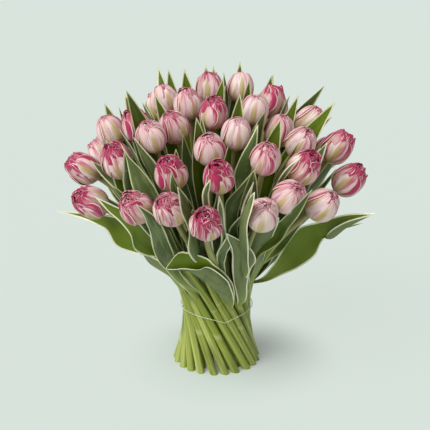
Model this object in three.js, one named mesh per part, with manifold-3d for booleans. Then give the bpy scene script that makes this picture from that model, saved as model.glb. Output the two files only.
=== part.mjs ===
// A hand-tied bunch of double tulips that stands on its own cut ends.
// Millimetres, +Z up, the front of the bunch faces -Y.
import * as THREE from "three";
import { mergeVertices } from "three/addons/utils/BufferGeometryUtils.js";
import Module from "manifold-3d";

const wasm = await Module();
wasm.setup();

// Driving sizes
const STEM_RADIUS = 5;
const NECK_RADIUS = 3.4;
const WAIST_HEIGHT = 67;
const RIM_RING = 38.4;
const MIDDLE_RING = 28.1;
const CENTRE_RING = 19.2;
const TWIST_BELOW_WAIST = 41;
const TWIST_ABOVE_WAIST = 55;
const DOME_REACH = 281;
const DOME_FALL = 43;
const DOME_FALL_LEAN = 45;
const RIM_BLOOM = { radius: 18.6, length: 46 };
const MIDDLE_BLOOM = { radius: 17.4, length: 43 };
const CENTRE_BLOOM = { radius: 16.6, length: 42 };
const BLOOM_WIDEST = 0.42;
const LEAF_THICKNESS = 1.6;
const TIE_RADIUS = 44.8;
const TIE_THICKNESS = 1.3;
const TIE_HEIGHT = 76;
const TIE_DIP = 9;
const TIE_DIP_ANGLE = -77;
const TIE_DIP_SPREAD = 25;
const CLEARANCE = 0.3;

// The whole bunch is moved by this much so that it stands centred on its origin
const CENTRE_SHIFT = [2.5, 6.4];

// The view in which the heads were placed: a sight line passes through a point of the picture
const SIGHT_SCALE = 1.25;
const SIGHT_PITCH = 20;
const SIGHT_DISTANCE = 1750;
const SIGHT_HEIGHT = 195;
const SIGHT_CENTRE = 215;
const AXIS_COLUMN = 216.7;

// The leaves that show most, placed one by one. Each leaves its stem at "from" mm above the
// waist. A station gives the two edges of the blade and, where it is folded, its keel. Every
// corner is a column and row of the picture and a depth behind the bunch's axis. A rising leaf
// shows its outer face where its edges go from left to right, and its inner face otherwise.
const RIGHT_FAN = {
  from: 40,
  stations: [
    [[264, 282, -2], [259, 279, 4]],
    [[283, 274.7, -16], [270.5, 267.5, -12]],
    [[299, 267.5, -32], [281.5, 251, -28]],
    [[314.6, 256, -48], [290, 238, -44]],
    [[322, 242, -62], [304, 225.5, -58]],
    [[330, 231, -74], [324, 220, -64], [329, 239, -68]],
    [[345.5, 222, -82], [345, 214.3, -74], [346, 228, -77]],
  ],
  tip: [375.4, 213, -88],
};
const RIGHT_STRAP = {
  from: 62,
  stations: [
    [[253, 272, -60], [247.5, 266, -56]],
    [[261, 255, -78], [254, 247, -76]],
    [[270.5, 249.5, -90], [260, 238, -88]],
    [[280, 242.5, -102], [271, 227.5, -102]],
    [[288.5, 229, -122], [283, 218, -130]],
    [[300.5, 213, -144], [296.5, 205, -154]],
  ],
  tip: [312.2, 189.6, -160],
};
const POINTED_LEAF = {
  from: 72,
  stations: [
    [[236, 262, -82], [246, 262, -75]],
    [[228, 243, -98], [240, 243, -94]],
    [[229, 229, -110], [238, 228, -107]],
    [[237, 219.5, -119], [242, 219, -117]],
  ],
  tip: [247, 210.5, -125],
};
const DARK_LEAF = {
  from: 104,
  stations: [
    [[226, 236, -96], [238, 236, -92]],
    [[225, 220, -106], [238, 218, -104]],
    [[226, 202, -118], [241, 203, -116]],
    [[238, 188, -128], [245.5, 190, -126]],
  ],
  tip: [251, 173.7, -136],
};
const LIGHT_LEAF = {
  from: 112,
  stations: [
    [[240, 222, -112], [247, 222, -110]],
    [[242, 207, -124], [248.5, 207, -122]],
    [[247, 194, -134], [251, 195, -132]],
  ],
  tip: [253.6, 182, -140],
};
const TALL_LEAF = {
  from: 165,
  stations: [
    [[236, 192, -86], [251, 194, -88]],
    [[235, 170, -92], [252, 172, -93]],
    [[243, 152, -97], [254.5, 157, -98]],
    [[250, 139.5, -98], [257.5, 140, -98]],
  ],
  tip: [258, 124.5, -94],
};
const STRAIGHT_LEAF = {
  from: 125,
  stations: [
    [[267.5, 214, -79], [271.5, 215, -77]],
    [[273.5, 190.5, -106], [278.5, 189, -104]],
    [[286, 168.5, -122], [292, 169, -122]],
  ],
  tip: [301.7, 156, -125],
};
const NODDING_LEAF = {
  from: 18,
  stations: [
    [[237, 298, -60], [247, 297, -56]],
    [[233.7, 282, -72], [247.5, 284, -68]],
    [[232, 267, -88], [251.5, 268, -82]],
    [[232, 254, -102], [256, 259, -94]],
    [[230.5, 245.5, -112], [250.5, 248.2, -106]],
    [[227.5, 239.5, -120], [238, 239, -118]],
  ],
  tip: [226, 233, -126],
};
const SMALL_LEAF = {
  from: 84,
  stations: [
    [[219.5, 269, -83], [226, 274, -80]],
    [[217, 262, -96], [225, 262, -93]],
    [[217, 252.5, -108], [227.8, 252, -106]],
    [[221.5, 245, -114], [231, 244, -112]],
  ],
  tip: [226.5, 237, -118],
};
const NARROW_LEAF = {
  from: 130,
  stations: [
    [[221, 240, -112], [226, 240, -110]],
    [[219, 222, -126], [225, 222, -125]],
    [[217.3, 207, -138], [223.5, 207, -137]],
  ],
  tip: [219.2, 195.4, -146],
};
const UPRIGHT_LEAF = {
  from: 145,
  stations: [
    [[203, 226, -130], [211, 226, -128]],
    [[203, 208, -144], [210.5, 208, -142]],
    [[202, 194, -156], [209, 194, -154]],
    [[204.5, 186, -161], [210.5, 186, -160]],
  ],
  tip: [210.3, 179.5, -165],
};
const FOLDED_LEAF = {
  from: 14,
  stations: [
    [[234.5, 297, -62], [234, 300, -72], [227.5, 304, -64]],
    [[233, 284, -78], [231, 288, -88], [218, 294, -78]],
    [[224, 272, -93], [226, 279, -102], [208.8, 285, -90]],
    [[214.5, 265, -105], [208, 267, -110], [197, 276.5, -98]],
    [[204, 256.5, -108], [197, 269.5, -113], [187.5, 270, -104]],
    [[189, 252.5, -104], [184.8, 268.4, -112], [180, 269.2, -106]],
    [[176, 254.5, -106], [174, 269.3, -113], [171, 269.4, -110]],
  ],
  tip: [165.7, 268.4, -112],
};
const BEHIND_LEAF = {
  from: 110,
  stations: [
    [[196, 262, -92], [212, 267, -72]],
    [[187, 248, -100], [211, 252, -82]],
    [[184.8, 237, -104], [209, 238, -96]],
    [[187.5, 226, -112], [208, 224, -112]],
  ],
  tip: [192.5, 209, -120],
};
const BETWEEN_LEAF = {
  from: 128,
  stations: [
    [[184, 226, -96], [196, 226, -90]],
    [[177, 208, -114], [193, 207, -108]],
    [[171, 195, -133], [187, 197, -128]],
    [[169.5, 183, -145], [178, 184.5, -141]],
  ],
  tip: [171.2, 171.3, -149],
};
const LEFT_STRAP = {
  from: 44,
  stations: [
    [[180, 284, -64], [190, 284, -62]],
    [[164, 267.5, -82], [177, 266, -80]],
    [[155, 256, -96], [174, 254, -96]],
    [[151.5, 241.5, -114], [169, 241.4, -112]],
    [[148.5, 229, -130], [164, 229, -128]],
    [[143, 215.5, -150], [154, 215, -148]],
  ],
  tip: [136, 204, -162],
};
const LEFT_TALL = {
  from: 112,
  stations: [
    [[150, 222, -92], [168, 224, -92]],
    [[139, 203, -98], [163, 205, -100]],
    [[133, 189, -100], [156, 189.5, -102]],
    [[128, 168.5, -99], [142, 170, -101]],
    [[125.3, 155.2, -98], [129.5, 157, -100]],
  ],
  tip: [120.7, 143.4, -96],
};
const LEFT_FAN = {
  from: 52,
  stations: [
    [[178, 262, -60], [176, 272, -58]],
    [[160, 247, -72], [158, 258, -70]],
    [[151, 236, -86], [145, 255.8, -80]],
    [[144, 229, -96], [134, 249, -88]],
    [[137, 222, -102], [130.5, 236, -96]],
    [[127, 212, -105], [121, 223.5, -102]],
    [[112, 204.5, -107], [108.5, 212, -105]],
  ],
  tip: [94.7, 196.5, -108],
};
const LEFT_LOW_FAN = {
  from: 34,
  stations: [
    [[172, 262, -48], [170, 269, -56], [167, 274.5, -46]],
    [[158, 249, -54], [155, 258, -62], [150, 263.5, -50]],
    [[142, 238, -60], [133, 252.7, -58]],
    [[133, 229, -62], [116.2, 246.2, -58]],
    [[122, 219.5, -60], [106.2, 230.6, -56]],
    [[109, 215.5, -54], [96.5, 224.8, -50]],
    [[85, 213, -46], [82.5, 218.7, -44]],
  ],
  tip: [56.5, 211.4, -40],
};

// More leaves of the front stems, which rise before the stems behind them. Each stands on the
// side that "bearing" gives and ends so far past the top of its bloom.
const FRONT_LEFT = { bearing: -32, past: -40, width: 38 };
const BESIDE_RIGHT = { bearing: 96, past: 26, width: 40 };
const BESIDE_LEFT = { bearing: -92, past: 30, width: 40 };

// Ranges that the other leaves are drawn from: where a leaf leaves its stem, its width, how far
// it ends past the top of its bloom, and which way it stands
const RISING = { from: [35, 60], width: [36, 45], spread: 8, fold: 32 };
const OUTER = { from: [20, 36], past: [0, 30], width: [36, 44], bearing: [15, 50], spread: [20, 32] };
const INWARD = { bearing: [0, 35], past: [-5, 20] };
const SIDEWAYS = { bearing: [80, 120], past: [-25, 5] };
const BEHIND_HEAD = { turn: [-35, 35], past: [8, 36], centrePast: [4, 16] };
const BEFORE_HEAD = { turn: [40, 75], past: [-26, 8] };

// Heads that show: column and row of the head's middle, how far it lies behind the bunch's
// axis, how its neck turns from upright, and how far its petals stand open (0 to 1). Those marked
// as having fewer leaves go without the ones that rise right beside the head by the rule.
const RIM_HEADS = [
  {
    at: [206, 224], depth: -164, turn: 0, open: 0.9,
    placed: [NODDING_LEAF, SMALL_LEAF, NARROW_LEAF, UPRIGHT_LEAF], fewer: true,
  },
  {
    at: [170, 210], depth: -150, turn: -26, open: 0.6,
    placed: [FOLDED_LEAF, BEHIND_LEAF, BETWEEN_LEAF], more: [BESIDE_RIGHT], fewer: true,
  },
  { at: [136, 208], depth: -132, turn: -40, open: 0.7, placed: [LEFT_STRAP, LEFT_FAN, LEFT_TALL] },
  { at: [92, 203], depth: -78, turn: -63, open: 0.9, placed: [LEFT_LOW_FAN] },
  { at: [84.8, 169], depth: 4, turn: -58, open: 0.8 },
  { at: [117.6, 161.8], depth: -70, turn: -20, open: 0.9 },
  { at: [171, 174], depth: -124, turn: -10, open: 0.9, placed: [] },
  {
    at: [262, 215], depth: -153, turn: 25, open: 0.1,
    placed: [POINTED_LEAF, DARK_LEAF, LIGHT_LEAF], more: [BESIDE_LEFT], fewer: true,
  },
  { at: [288.5, 197], depth: -130, turn: 45, open: 0.2, placed: [RIGHT_STRAP], more: [FRONT_LEFT] },
  { at: [303, 168], depth: -103, turn: 39, open: 0.8, placed: [STRAIGHT_LEAF] },
  { at: [322, 205], depth: -108, turn: 53, open: 0.1, placed: [RIGHT_FAN] },
  { at: [348, 181], depth: -30, turn: 49, open: 0.9 },
  { at: [337, 148.5], depth: 18, turn: 38, open: 0.8 },
];
const MIDDLE_HEADS = [
  { at: [111.5, 131.5], depth: 24, turn: -27, open: 0.3 },
  { at: [137, 126.6], depth: -15, turn: -20, open: 0.8 },
  { at: [151.5, 137], depth: -80, turn: -20, open: 0.3 },
  { at: [174.5, 128], depth: -50, turn: -18, open: 0.4 },
  { at: [209.6, 150], depth: -105, turn: 0, open: 0.3 },
  { at: [219, 177.5], depth: -145, turn: -5, open: 0.9, fewer: true },
  { at: [236.4, 134], depth: -78, turn: 5, open: 0.1 },
  { at: [265.4, 159.4], depth: -116, turn: 12, open: 0.4, placed: [TALL_LEAF] },
  { at: [279, 131.5], depth: -27, turn: 17, open: 0.2 },
  { at: [300.6, 143.6], depth: -66, turn: 36, open: 0.2 },
  { at: [309, 122], depth: 35, turn: 45, open: 0.5 },
];
const CENTRE_HEADS = [
  { at: [188, 105], depth: -15, turn: -8, open: 0.5 },
  { at: [213, 114.5], depth: -52, turn: 9, open: 0.7 },
  { at: [254.5, 111], depth: -30, turn: 12, open: 0.1 },
  { at: [271.5, 102.4], depth: 30, turn: 12, open: 0.8 },
  { at: [241, 88], depth: 72, turn: 4, open: 0.1 },
  { at: [209.6, 89], depth: 50, turn: 0, open: 0.6 },
  { at: [165, 101], depth: 30, turn: -13, open: 0.2 },
];

// Heads behind them: how far round the bunch and how far each leans from upright
const RIM_BACK = { round: [28, 46, 64, 82, 100, 118, 136, 154], lean: 41 };
const MIDDLE_BACK = { round: [50, 90, 130], lean: 25 };

const UP = new THREE.Vector3(0, 0, 1);
const degrees = THREE.MathUtils.degToRad;
const { clamp } = THREE.MathUtils;
const smooth = (from, to, x) => THREE.MathUtils.smoothstep(x, from, to);

// A number from 0 to 1 that is always the same for the same pair
function vary(index, kind) {
  const wave = Math.sin(index * 12.9898 + kind * 78.233) * 43758.5453;
  return wave - Math.floor(wave);
}

function draw([low, high], index, kind) {
  return THREE.MathUtils.lerp(low, high, vary(index, kind));
}

// Placing the heads
const sight = {
  right: new THREE.Vector3(1, 0, 0),
  up: new THREE.Vector3(0, Math.sin(degrees(SIGHT_PITCH)), Math.cos(degrees(SIGHT_PITCH))),
  ahead: new THREE.Vector3(0, Math.cos(degrees(SIGHT_PITCH)), -Math.sin(degrees(SIGHT_PITCH))),
};
sight.aim = new THREE.Vector3(-(AXIS_COLUMN - SIGHT_CENTRE) * SIGHT_SCALE, 0, SIGHT_HEIGHT);
sight.eye = sight.aim.clone().addScaledVector(sight.ahead, -SIGHT_DISTANCE);

function sightPoint([column, row], depth) {
  const line = sight.ahead.clone().multiplyScalar(SIGHT_DISTANCE)
    .addScaledVector(sight.right, (column - SIGHT_CENTRE) * SIGHT_SCALE)
    .addScaledVector(sight.up, (SIGHT_CENTRE - row) * SIGHT_SCALE);
  return sight.eye.clone().addScaledVector(line, (depth - sight.eye.y) / line.y);
}

const waistCentre = new THREE.Vector3(0, 0, WAIST_HEIGHT);

function domePoint(round, lean) {
  const reach = DOME_REACH - DOME_FALL * (lean / DOME_FALL_LEAN) ** 2;
  return polar(reach * Math.sin(degrees(lean)), degrees(round), reach * Math.cos(degrees(lean)))
    .add(waistCentre);
}

function polar(radius, angle, height) {
  return new THREE.Vector3(radius * Math.cos(angle), radius * Math.sin(angle), height);
}

function seenFlower({ at, depth, turn, open, placed, more = [], fewer = false }) {
  const head = sightPoint(at, depth);
  const radial = head.clone().sub(waistCentre).normalize();
  const facing = radial.dot(sight.ahead);
  const sideways = Math.sqrt(1 - facing * facing);
  const axis = sight.ahead.clone().multiplyScalar(facing)
    .addScaledVector(sight.right, sideways * Math.sin(degrees(turn)))
    .addScaledVector(sight.up, sideways * Math.cos(degrees(turn)));
  return { head, axis, open, placed, more, fewer };
}

function backFlower(round, lean, index) {
  const head = domePoint(round, lean);
  return { head, axis: head.clone().sub(waistCentre).normalize(), open: vary(index, 1) };
}

function ringOfFlowers(size, seen, back) {
  const hidden = back ? back.round.map((round, i) => backFlower(round, back.lean, i)) : [];
  const flowers = [...seen.map(seenFlower), ...hidden];
  for (const flower of flowers) {
    const angle = Math.atan2(flower.head.y, flower.head.x);
    flower.headAngle = (angle + 2 * Math.PI) % (2 * Math.PI);
    flower.size = size;
  }
  return flowers.sort((a, b) => a.headAngle - b.headAngle);
}

// Seating the stems: seven sectors, each with three rim stems, a pair behind them and one
// centre stem. Stems of a sector touch at the waist, sectors stand a little apart.
const SECTORS = 7;
const SECTOR = (2 * Math.PI) / SECTORS;
const RIM_STEP = (SECTOR / 3) * 0.93;
const PAIR_STEP = (SECTOR / 2) * 0.805;

function seatStems(flowers, ringRadius, places) {
  const perSector = places.length;
  const seats = flowers.map((_, i) => Math.floor(i / perSector) * SECTOR + places[i % perSector]);
  const wanted = flowers.map((flower, i) => flower.headAngle + degrees(TWIST_ABOVE_WAIST) - seats[i]);
  const east = wanted.reduce((sum, angle) => sum + Math.cos(angle), 0);
  const north = wanted.reduce((sum, angle) => sum + Math.sin(angle), 0);
  const offset = Math.atan2(north, east);
  flowers.forEach((flower, i) => {
    flower.waistAngle = seats[i] + offset;
    flower.ringRadius = ringRadius;
    flower.sector = Math.floor(i / perSector);
  });
  return offset;
}

const rim = ringOfFlowers(RIM_BLOOM, RIM_HEADS, RIM_BACK);
const middle = ringOfFlowers(MIDDLE_BLOOM, MIDDLE_HEADS, MIDDLE_BACK);
const centre = ringOfFlowers(CENTRE_BLOOM, CENTRE_HEADS);
seatStems(rim, RIM_RING, [-RIM_STEP, 0, RIM_STEP]);
const pairOffset = seatStems(middle, MIDDLE_RING, [-PAIR_STEP / 2, PAIR_STEP / 2]);

// Each centre stem stands in the hollow of the pair whose sector suits its head best
function seatCentre(flowers) {
  const first = flowers[0].headAngle + degrees(TWIST_ABOVE_WAIST);
  const shift = Math.round((first - pairOffset) / SECTOR);
  flowers.forEach((flower, i) => {
    flower.waistAngle = pairOffset + (i + shift) * SECTOR;
    flower.ringRadius = CENTRE_RING;
    flower.sector = (((i + shift) % SECTORS) + SECTORS) % SECTORS;
  });
}
seatCentre(centre);
const flowers = [...rim, ...middle, ...centre];
flowers.forEach((flower, i) => { flower.index = i; });

// The line that each stem follows, from the waist up to its head and on past it
const TRACK_STEPS = 26;
const TRACK_BEYOND = 130;
const RISE_FROM_WAIST = 60;
const RISE_TO_HEAD = 80;
const HEAD_ABOVE_BASE = 0.45;

function layTrack(flower) {
  const { waistAngle, ringRadius, head, axis } = flower;
  const twist = degrees(TWIST_BELOW_WAIST);
  flower.waist = polar(ringRadius, waistAngle, WAIST_HEIGHT);
  flower.foot = polar(ringRadius / Math.cos(twist), waistAngle + twist, 0);
  flower.rise = flower.waist.clone().sub(flower.foot).normalize();
  flower.base = head.clone().addScaledVector(axis, -HEAD_ABOVE_BASE * flower.size.length);
  const curve = new THREE.CubicBezierCurve3(
    flower.waist,
    flower.waist.clone().addScaledVector(flower.rise, RISE_FROM_WAIST),
    flower.base.clone().addScaledVector(axis, -RISE_TO_HEAD),
    flower.base,
  );
  const points = curve.getPoints(TRACK_STEPS);
  flower.lengths = [0];
  for (let i = 1; i < points.length; i += 1) {
    flower.lengths.push(flower.lengths[i - 1] + points[i].distanceTo(points[i - 1]));
  }
  flower.stemLength = flower.lengths.at(-1);
  points.push(flower.base.clone().addScaledVector(axis, TRACK_BEYOND));
  flower.lengths.push(flower.stemLength + TRACK_BEYOND);
  flower.points = points;
}
flowers.forEach(layTrack);

// Where a track is after a given length, which way it runs, and its outward and side directions
const SWIRL_LENGTH = 140;

function along(flower, length) {
  const { points, lengths } = flower;
  let i = 1;
  while (i < lengths.length - 1 && lengths[i] < length) i += 1;
  const part = (length - lengths[i - 1]) / (lengths[i] - lengths[i - 1]);
  const point = points[i - 1].clone().lerp(points[i], part);
  const run = points[i].clone().sub(points[i - 1]).normalize();
  const swing = wrap(flower.headAngle - flower.waistAngle);
  const angle = flower.waistAngle + swing * smooth(0, SWIRL_LENGTH, length);
  const outward = polar(1, angle, 0);
  outward.addScaledVector(run, -outward.dot(run)).normalize();
  return { point, run, outward, side: run.clone().cross(outward) };
}

function wrap(angle) {
  return Math.atan2(Math.sin(angle), Math.cos(angle));
}

// How far a point is from a track
const nearest = new THREE.Vector3();

function distanceToTrack(flower, point) {
  let best = Infinity;
  const { points } = flower;
  for (let i = 1; i < points.length; i += 1) {
    const start = points[i - 1];
    nearest.copy(points[i]).sub(start);
    const offset = (point.x - start.x) * nearest.x + (point.y - start.y) * nearest.y
      + (point.z - start.z) * nearest.z;
    const part = clamp(offset / nearest.lengthSq(), 0, 1);
    nearest.multiplyScalar(part).add(start);
    best = Math.min(best, nearest.distanceToSquared(point));
  }
  return Math.sqrt(best);
}

function distanceToOthers(flower, point) {
  let others = Infinity;
  for (const other of flowers) {
    if (other !== flower) others = Math.min(others, distanceToTrack(other, point));
  }
  return others;
}

// Where a blade may be: an ordinary leaf stays nearer to its own track than to any other,
// and some in the front row pass in front of the other stems
const LEAF_ROOM = 2.4;
const FRONT_ROOM = 11;

function nearOwn(flower, point) {
  return distanceToOthers(flower, point) - distanceToTrack(flower, point) >= LEAF_ROOM;
}

function clearOfHeads(flower, point) {
  return flowers.every((other) => {
    const away = point.clone().sub(other.base);
    const height = away.dot(other.axis);
    if (other === flower || height < -FRONT_ROOM || height > other.size.length + FRONT_ROOM) return true;
    return away.addScaledVector(other.axis, -height).length() >= other.size.radius + LEAF_ROOM;
  });
}

function inFrontOfStems(flower, point) {
  if (nearOwn(flower, point)) return true;
  return distanceToOthers(flower, point) >= FRONT_ROOM && clearOfHeads(flower, point);
}

// How far a blade may reach from a point before it leaves its room
const REACH_TRIES = 9;

function reachWithin(flower, start, direction, wanted, allowed) {
  const probe = (reach) => allowed(flower, start.clone().addScaledVector(direction, reach));
  if (probe(wanted)) return wanted;
  let low = 0;
  let high = wanted;
  for (let i = 0; i < REACH_TRIES; i += 1) {
    const reach = (low + high) / 2;
    if (probe(reach)) low = reach;
    else high = reach;
  }
  return low;
}

// Solids from lists of corners and triangles
function toSolid(corners, triangles) {
  const vertProperties = new Float32Array(corners.flatMap((c) => [c.x, c.y, c.z]));
  const triVerts = new Uint32Array(triangles.flat());
  return new wasm.Manifold(new wasm.Mesh({ numProp: 3, vertProperties, triVerts }));
}

// One body: slivers go, and a loose scrap or a sealed pocket left where blades meet is dropped
const SLIVER = 0.3;

function toGeometry(solid) {
  const bodies = solid.asOriginal().simplify(SLIVER).decompose();
  const mesh = bodies.reduce((a, b) => (b.volume() > a.volume() ? b : a)).getMesh();
  const geometry = new THREE.BufferGeometry();
  geometry.setAttribute("position", new THREE.BufferAttribute(mesh.vertProperties, 3));
  geometry.setIndex(new THREE.BufferAttribute(mesh.triVerts, 1));
  return mergeVertices(geometry);
}

// A skin over rings of the same number of corners, from the first ring to the last
function skin(ringCount, sides, flip) {
  const triangles = [];
  for (let ring = 0; ring + 1 < ringCount; ring += 1) {
    for (let i = 0; i < sides; i += 1) {
      const next = (i + 1) % sides;
      const [a, b] = [ring * sides + i, ring * sides + next];
      const [c, d] = [b + sides, a + sides];
      triangles.push(...(flip?.(i) ? [[a, b, d], [b, c, d]] : [[a, b, c], [a, c, d]]));
    }
  }
  return triangles;
}

function cap(first, sides, facingBack) {
  const triangles = [];
  for (let i = 1; i + 1 < sides; i += 1) {
    triangles.push(facingBack ? [first, first + i + 1, first + i] : [first, first + i, first + i + 1]);
  }
  return triangles;
}

// A stem: straight from its cut foot to the waist, then along its track, thinner to the neck
const STEM_SIDES = 6;
const STEM_STATIONS = [48, 140];

function stemSolid(flower) {
  const corners = [];
  const ring = (point, a, b, radiusA, radiusB) => {
    for (let i = 0; i < STEM_SIDES; i += 1) {
      const angle = (i / STEM_SIDES) * 2 * Math.PI;
      corners.push(point.clone().addScaledVector(a, radiusA * Math.cos(angle))
        .addScaledVector(b, radiusB * Math.sin(angle)));
    }
  };
  const radial = polar(1, flower.waistAngle, 0);
  const tangent = UP.clone().cross(radial);
  const slant = STEM_RADIUS / flower.rise.z;
  ring(flower.foot, tangent, radial.clone().negate(), slant, STEM_RADIUS);
  ring(flower.waist, tangent, radial.clone().negate(), slant, STEM_RADIUS);
  const top = flower.stemLength - CLEARANCE;
  const stations = [...STEM_STATIONS.filter((length) => length < top - 15), top];
  for (const length of stations) {
    const { point, outward, side } = along(flower, length);
    const radius = THREE.MathUtils.lerp(STEM_RADIUS, NECK_RADIUS, length / flower.stemLength);
    ring(point, side, outward.clone().negate(), radius, radius);
  }
  const rings = stations.length + 2;
  const triangles = [
    ...skin(rings, STEM_SIDES),
    ...cap(0, STEM_SIDES, true),
    ...cap((rings - 1) * STEM_SIDES, STEM_SIDES, false),
  ];
  return toSolid(corners, triangles);
}

// A bloom: three outer petals over three inner ones, and three more that close the cup
const BLOOM_STATIONS = [0.1, 0.3, 0.56, 0.8];
const PETALS = 3;
const PETAL_CORNERS = 6;

function cupRadius(t, { size, open }) {
  if (t < BLOOM_WIDEST) {
    return size.radius * Math.sqrt(1 - 0.94 * ((BLOOM_WIDEST - t) / BLOOM_WIDEST) ** 2.2);
  }
  const closing = 0.75 - 0.35 * open;
  return size.radius * (1 - closing * ((t - BLOOM_WIDEST) / (1 - BLOOM_WIDEST)) ** 2.3);
}

function bloomSolid(flower) {
  const { base, axis, open, index, size } = flower;
  const across = UP.clone().cross(axis).normalize();
  if (across.lengthSq() < 0.5) across.set(1, 0, 0);
  const over = axis.clone().cross(across);
  const turned = vary(index, 2) * 2 * Math.PI;
  const corners = [];
  const corner = (t, angle, radius) => {
    corners.push(base.clone().addScaledVector(axis, t * size.length)
      .addScaledVector(across, radius * Math.cos(angle + turned))
      .addScaledVector(over, radius * Math.sin(angle + turned)));
    return corners.length - 1;
  };
  const third = (2 * Math.PI) / PETALS;
  for (const t of BLOOM_STATIONS) {
    const radius = cupRadius(t, flower);
    const gap = degrees(6 + 13 * t);
    const edge = third / 2 - gap;
    for (let petal = 0; petal < PETALS; petal += 1) {
      const middle = petal * third;
      corner(t, middle - edge, radius * 0.97);
      corner(t, middle - edge / 3, radius);
      corner(t, middle + edge / 3, radius);
      corner(t, middle + edge, radius * 0.97);
      corner(t, middle + third / 2 - gap * 0.6, radius * 0.85);
      corner(t, middle + third / 2 + gap * 0.6, radius * 0.85);
    }
  }
  const sides = PETALS * PETAL_CORNERS;
  const triangles = skin(BLOOM_STATIONS.length, sides);
  const bottom = corner(0, 0, 0);
  for (let i = 0; i < sides; i += 1) triangles.push([bottom, (i + 1) % sides, i]);
  const last = (BLOOM_STATIONS.length - 1) * sides;
  const upper = cupRadius(BLOOM_STATIONS.at(-1), flower);
  const crown = [0, 1, 2].map((petal) => ({
    hollow: corner(0.82, petal * third, upper * 0.66),
    outerTip: corner(0.97 - 0.05 * vary(index, petal + 3), petal * third, upper * (0.62 + 0.3 * open)),
    innerTip: corner(1, (petal + 0.5) * third, upper * (0.42 + 0.2 * open)),
    heartTip: corner(0.95, petal * third, upper * 0.2),
  }));
  const heart = corner(0.86, 0, 0);
  crown.forEach((petal, k) => {
    const next = crown[(k + 1) % PETALS];
    const before = crown[(k + PETALS - 1) % PETALS];
    const at = (i) => last + ((k * PETAL_CORNERS + i) % sides);
    const [a, b, c, d, e, f, nextA] = [0, 1, 2, 3, 4, 5, 6].map(at);
    triangles.push([a, b, petal.outerTip], [b, c, petal.outerTip], [c, d, petal.outerTip]);
    triangles.push([a, petal.outerTip, petal.hollow], [petal.outerTip, d, petal.hollow]);
    const rimOfInner = [petal.hollow, d, e, f, nextA, next.hollow];
    for (let i = 0; i + 1 < rimOfInner.length; i += 1) {
      triangles.push([rimOfInner[i], rimOfInner[i + 1], petal.innerTip]);
    }
    triangles.push([before.innerTip, petal.hollow, petal.heartTip]);
    triangles.push([petal.hollow, petal.innerTip, petal.heartTip]);
    triangles.push([before.innerTip, petal.heartTip, heart]);
    triangles.push([petal.heartTip, petal.innerTip, heart]);
  });
  return toSolid(corners, triangles);
}

// The room that a head takes up round its track, for the leaves that pass it
const HEAD_ROOM = 2.2;

function headRoom({ stemLength, size }, length) {
  const past = length - stemLength;
  const swell = smooth(-24, 6, past);
  const narrow = 1 - 0.7 * smooth(size.length * 0.8, size.length + 12, past);
  return past > size.length + 12 ? 0 : (size.radius + HEAD_ROOM) * swell * narrow;
}

// A leaf: it clasps its stem, then rises along it or spreads away from it
const LEAF_STATIONS = [0, 0.1, 0.4, 0.725, 1];
const FOLD = 17;
const FRONT_FOLD = 24;
const HEAD_FOLD = 14;
const LEAF_WALK = 40;
const LEAST_HALF_WIDTH = 1.1;

function leafPath(leaf) {
  const { from, length, spread } = leaf;
  const step = length / LEAF_WALK;
  let reached = from;
  let away = 0;
  const path = [];
  for (let i = 0; i <= LEAF_WALK; i += 1) {
    const u = i / LEAF_WALK;
    path.push({ u, reached, away });
    const slope = degrees(spread * u);
    reached += Math.cos(slope) * step;
    away += Math.sin(slope) * step;
  }
  return LEAF_STATIONS.map((u) => path[Math.round(u * LEAF_WALK)]);
}

// Two directions at right angles, turned by an angle from the first towards the second
function turnPair(first, second, angle) {
  const cos = Math.cos(angle);
  const sin = Math.sin(angle);
  return [
    first.clone().multiplyScalar(cos).addScaledVector(second, sin),
    second.clone().multiplyScalar(cos).addScaledVector(first, -sin),
  ];
}

function leafSections(flower, leaf) {
  const { width, bearing, fold = FOLD, allowed = nearOwn } = leaf;
  const upperFold = Math.min(fold, HEAD_FOLD);
  return leafPath(leaf).map(({ u, reached, away }) => {
    const { point, outward, side } = along(flower, reached);
    const [face, sideways] = turnPair(outward, side, degrees(bearing));
    const clasp = THREE.MathUtils.lerp(0.4, 1.4, smooth(0, 0.1, u)) * STEM_RADIUS;
    const wanted = Math.max(clasp + away, headRoom(flower, reached));
    const mid = point.clone().addScaledVector(face, reachWithin(flower, point, face, wanted, allowed));
    const taper = (0.18 + 0.82 * smooth(0, 0.35, u)) * (1 - u ** 3.4) ** 0.85;
    const folded = THREE.MathUtils.lerp(fold, upperFold, smooth(0.35, 0.65, u));
    const edges = [-1, 1].map((hand) => {
      const [direction] = turnPair(sideways.clone().multiplyScalar(hand), face, -degrees(folded));
      const reach = reachWithin(flower, mid, direction, (width / 2) * taper, allowed);
      return mid.clone().addScaledVector(direction, Math.max(reach, LEAST_HALF_WIDTH));
    });
    return { mid, face, edges };
  });
}

// A leaf that would run into its own bloom is shorter
const BLOOM_ROOM = 1.2;
const SHORTER_BY = 5;

function meetsBloom(flower, sections) {
  const { base, axis, size } = flower;
  return sections.some((section, i) => i > 0 && [0.25, 0.5, 0.75, 1].some((part) => (
    [({ mid }) => mid, ({ edges }) => edges[0], ({ edges }) => edges[1]].some((pick) => {
      const point = pick(sections[i - 1]).clone().lerp(pick(section), part).sub(base);
      const t = point.dot(axis) / size.length;
      if (t < 0 || t > 1) return false;
      return point.addScaledVector(axis, -t * size.length).length() < cupRadius(t, flower) + BLOOM_ROOM;
    })
  )));
}

function clearSections(flower, leaf) {
  let sections = leafSections(flower, leaf);
  for (let { length } = leaf; meetsBloom(flower, sections); length -= SHORTER_BY) {
    sections = leafSections(flower, { ...leaf, length: length - SHORTER_BY });
  }
  return sections;
}

// The sections of a placed leaf: its clasp, its stations and its tip
const CLASP_HALF_WIDTH = 3;
const KEEL_DEPTH = 0.1;

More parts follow.
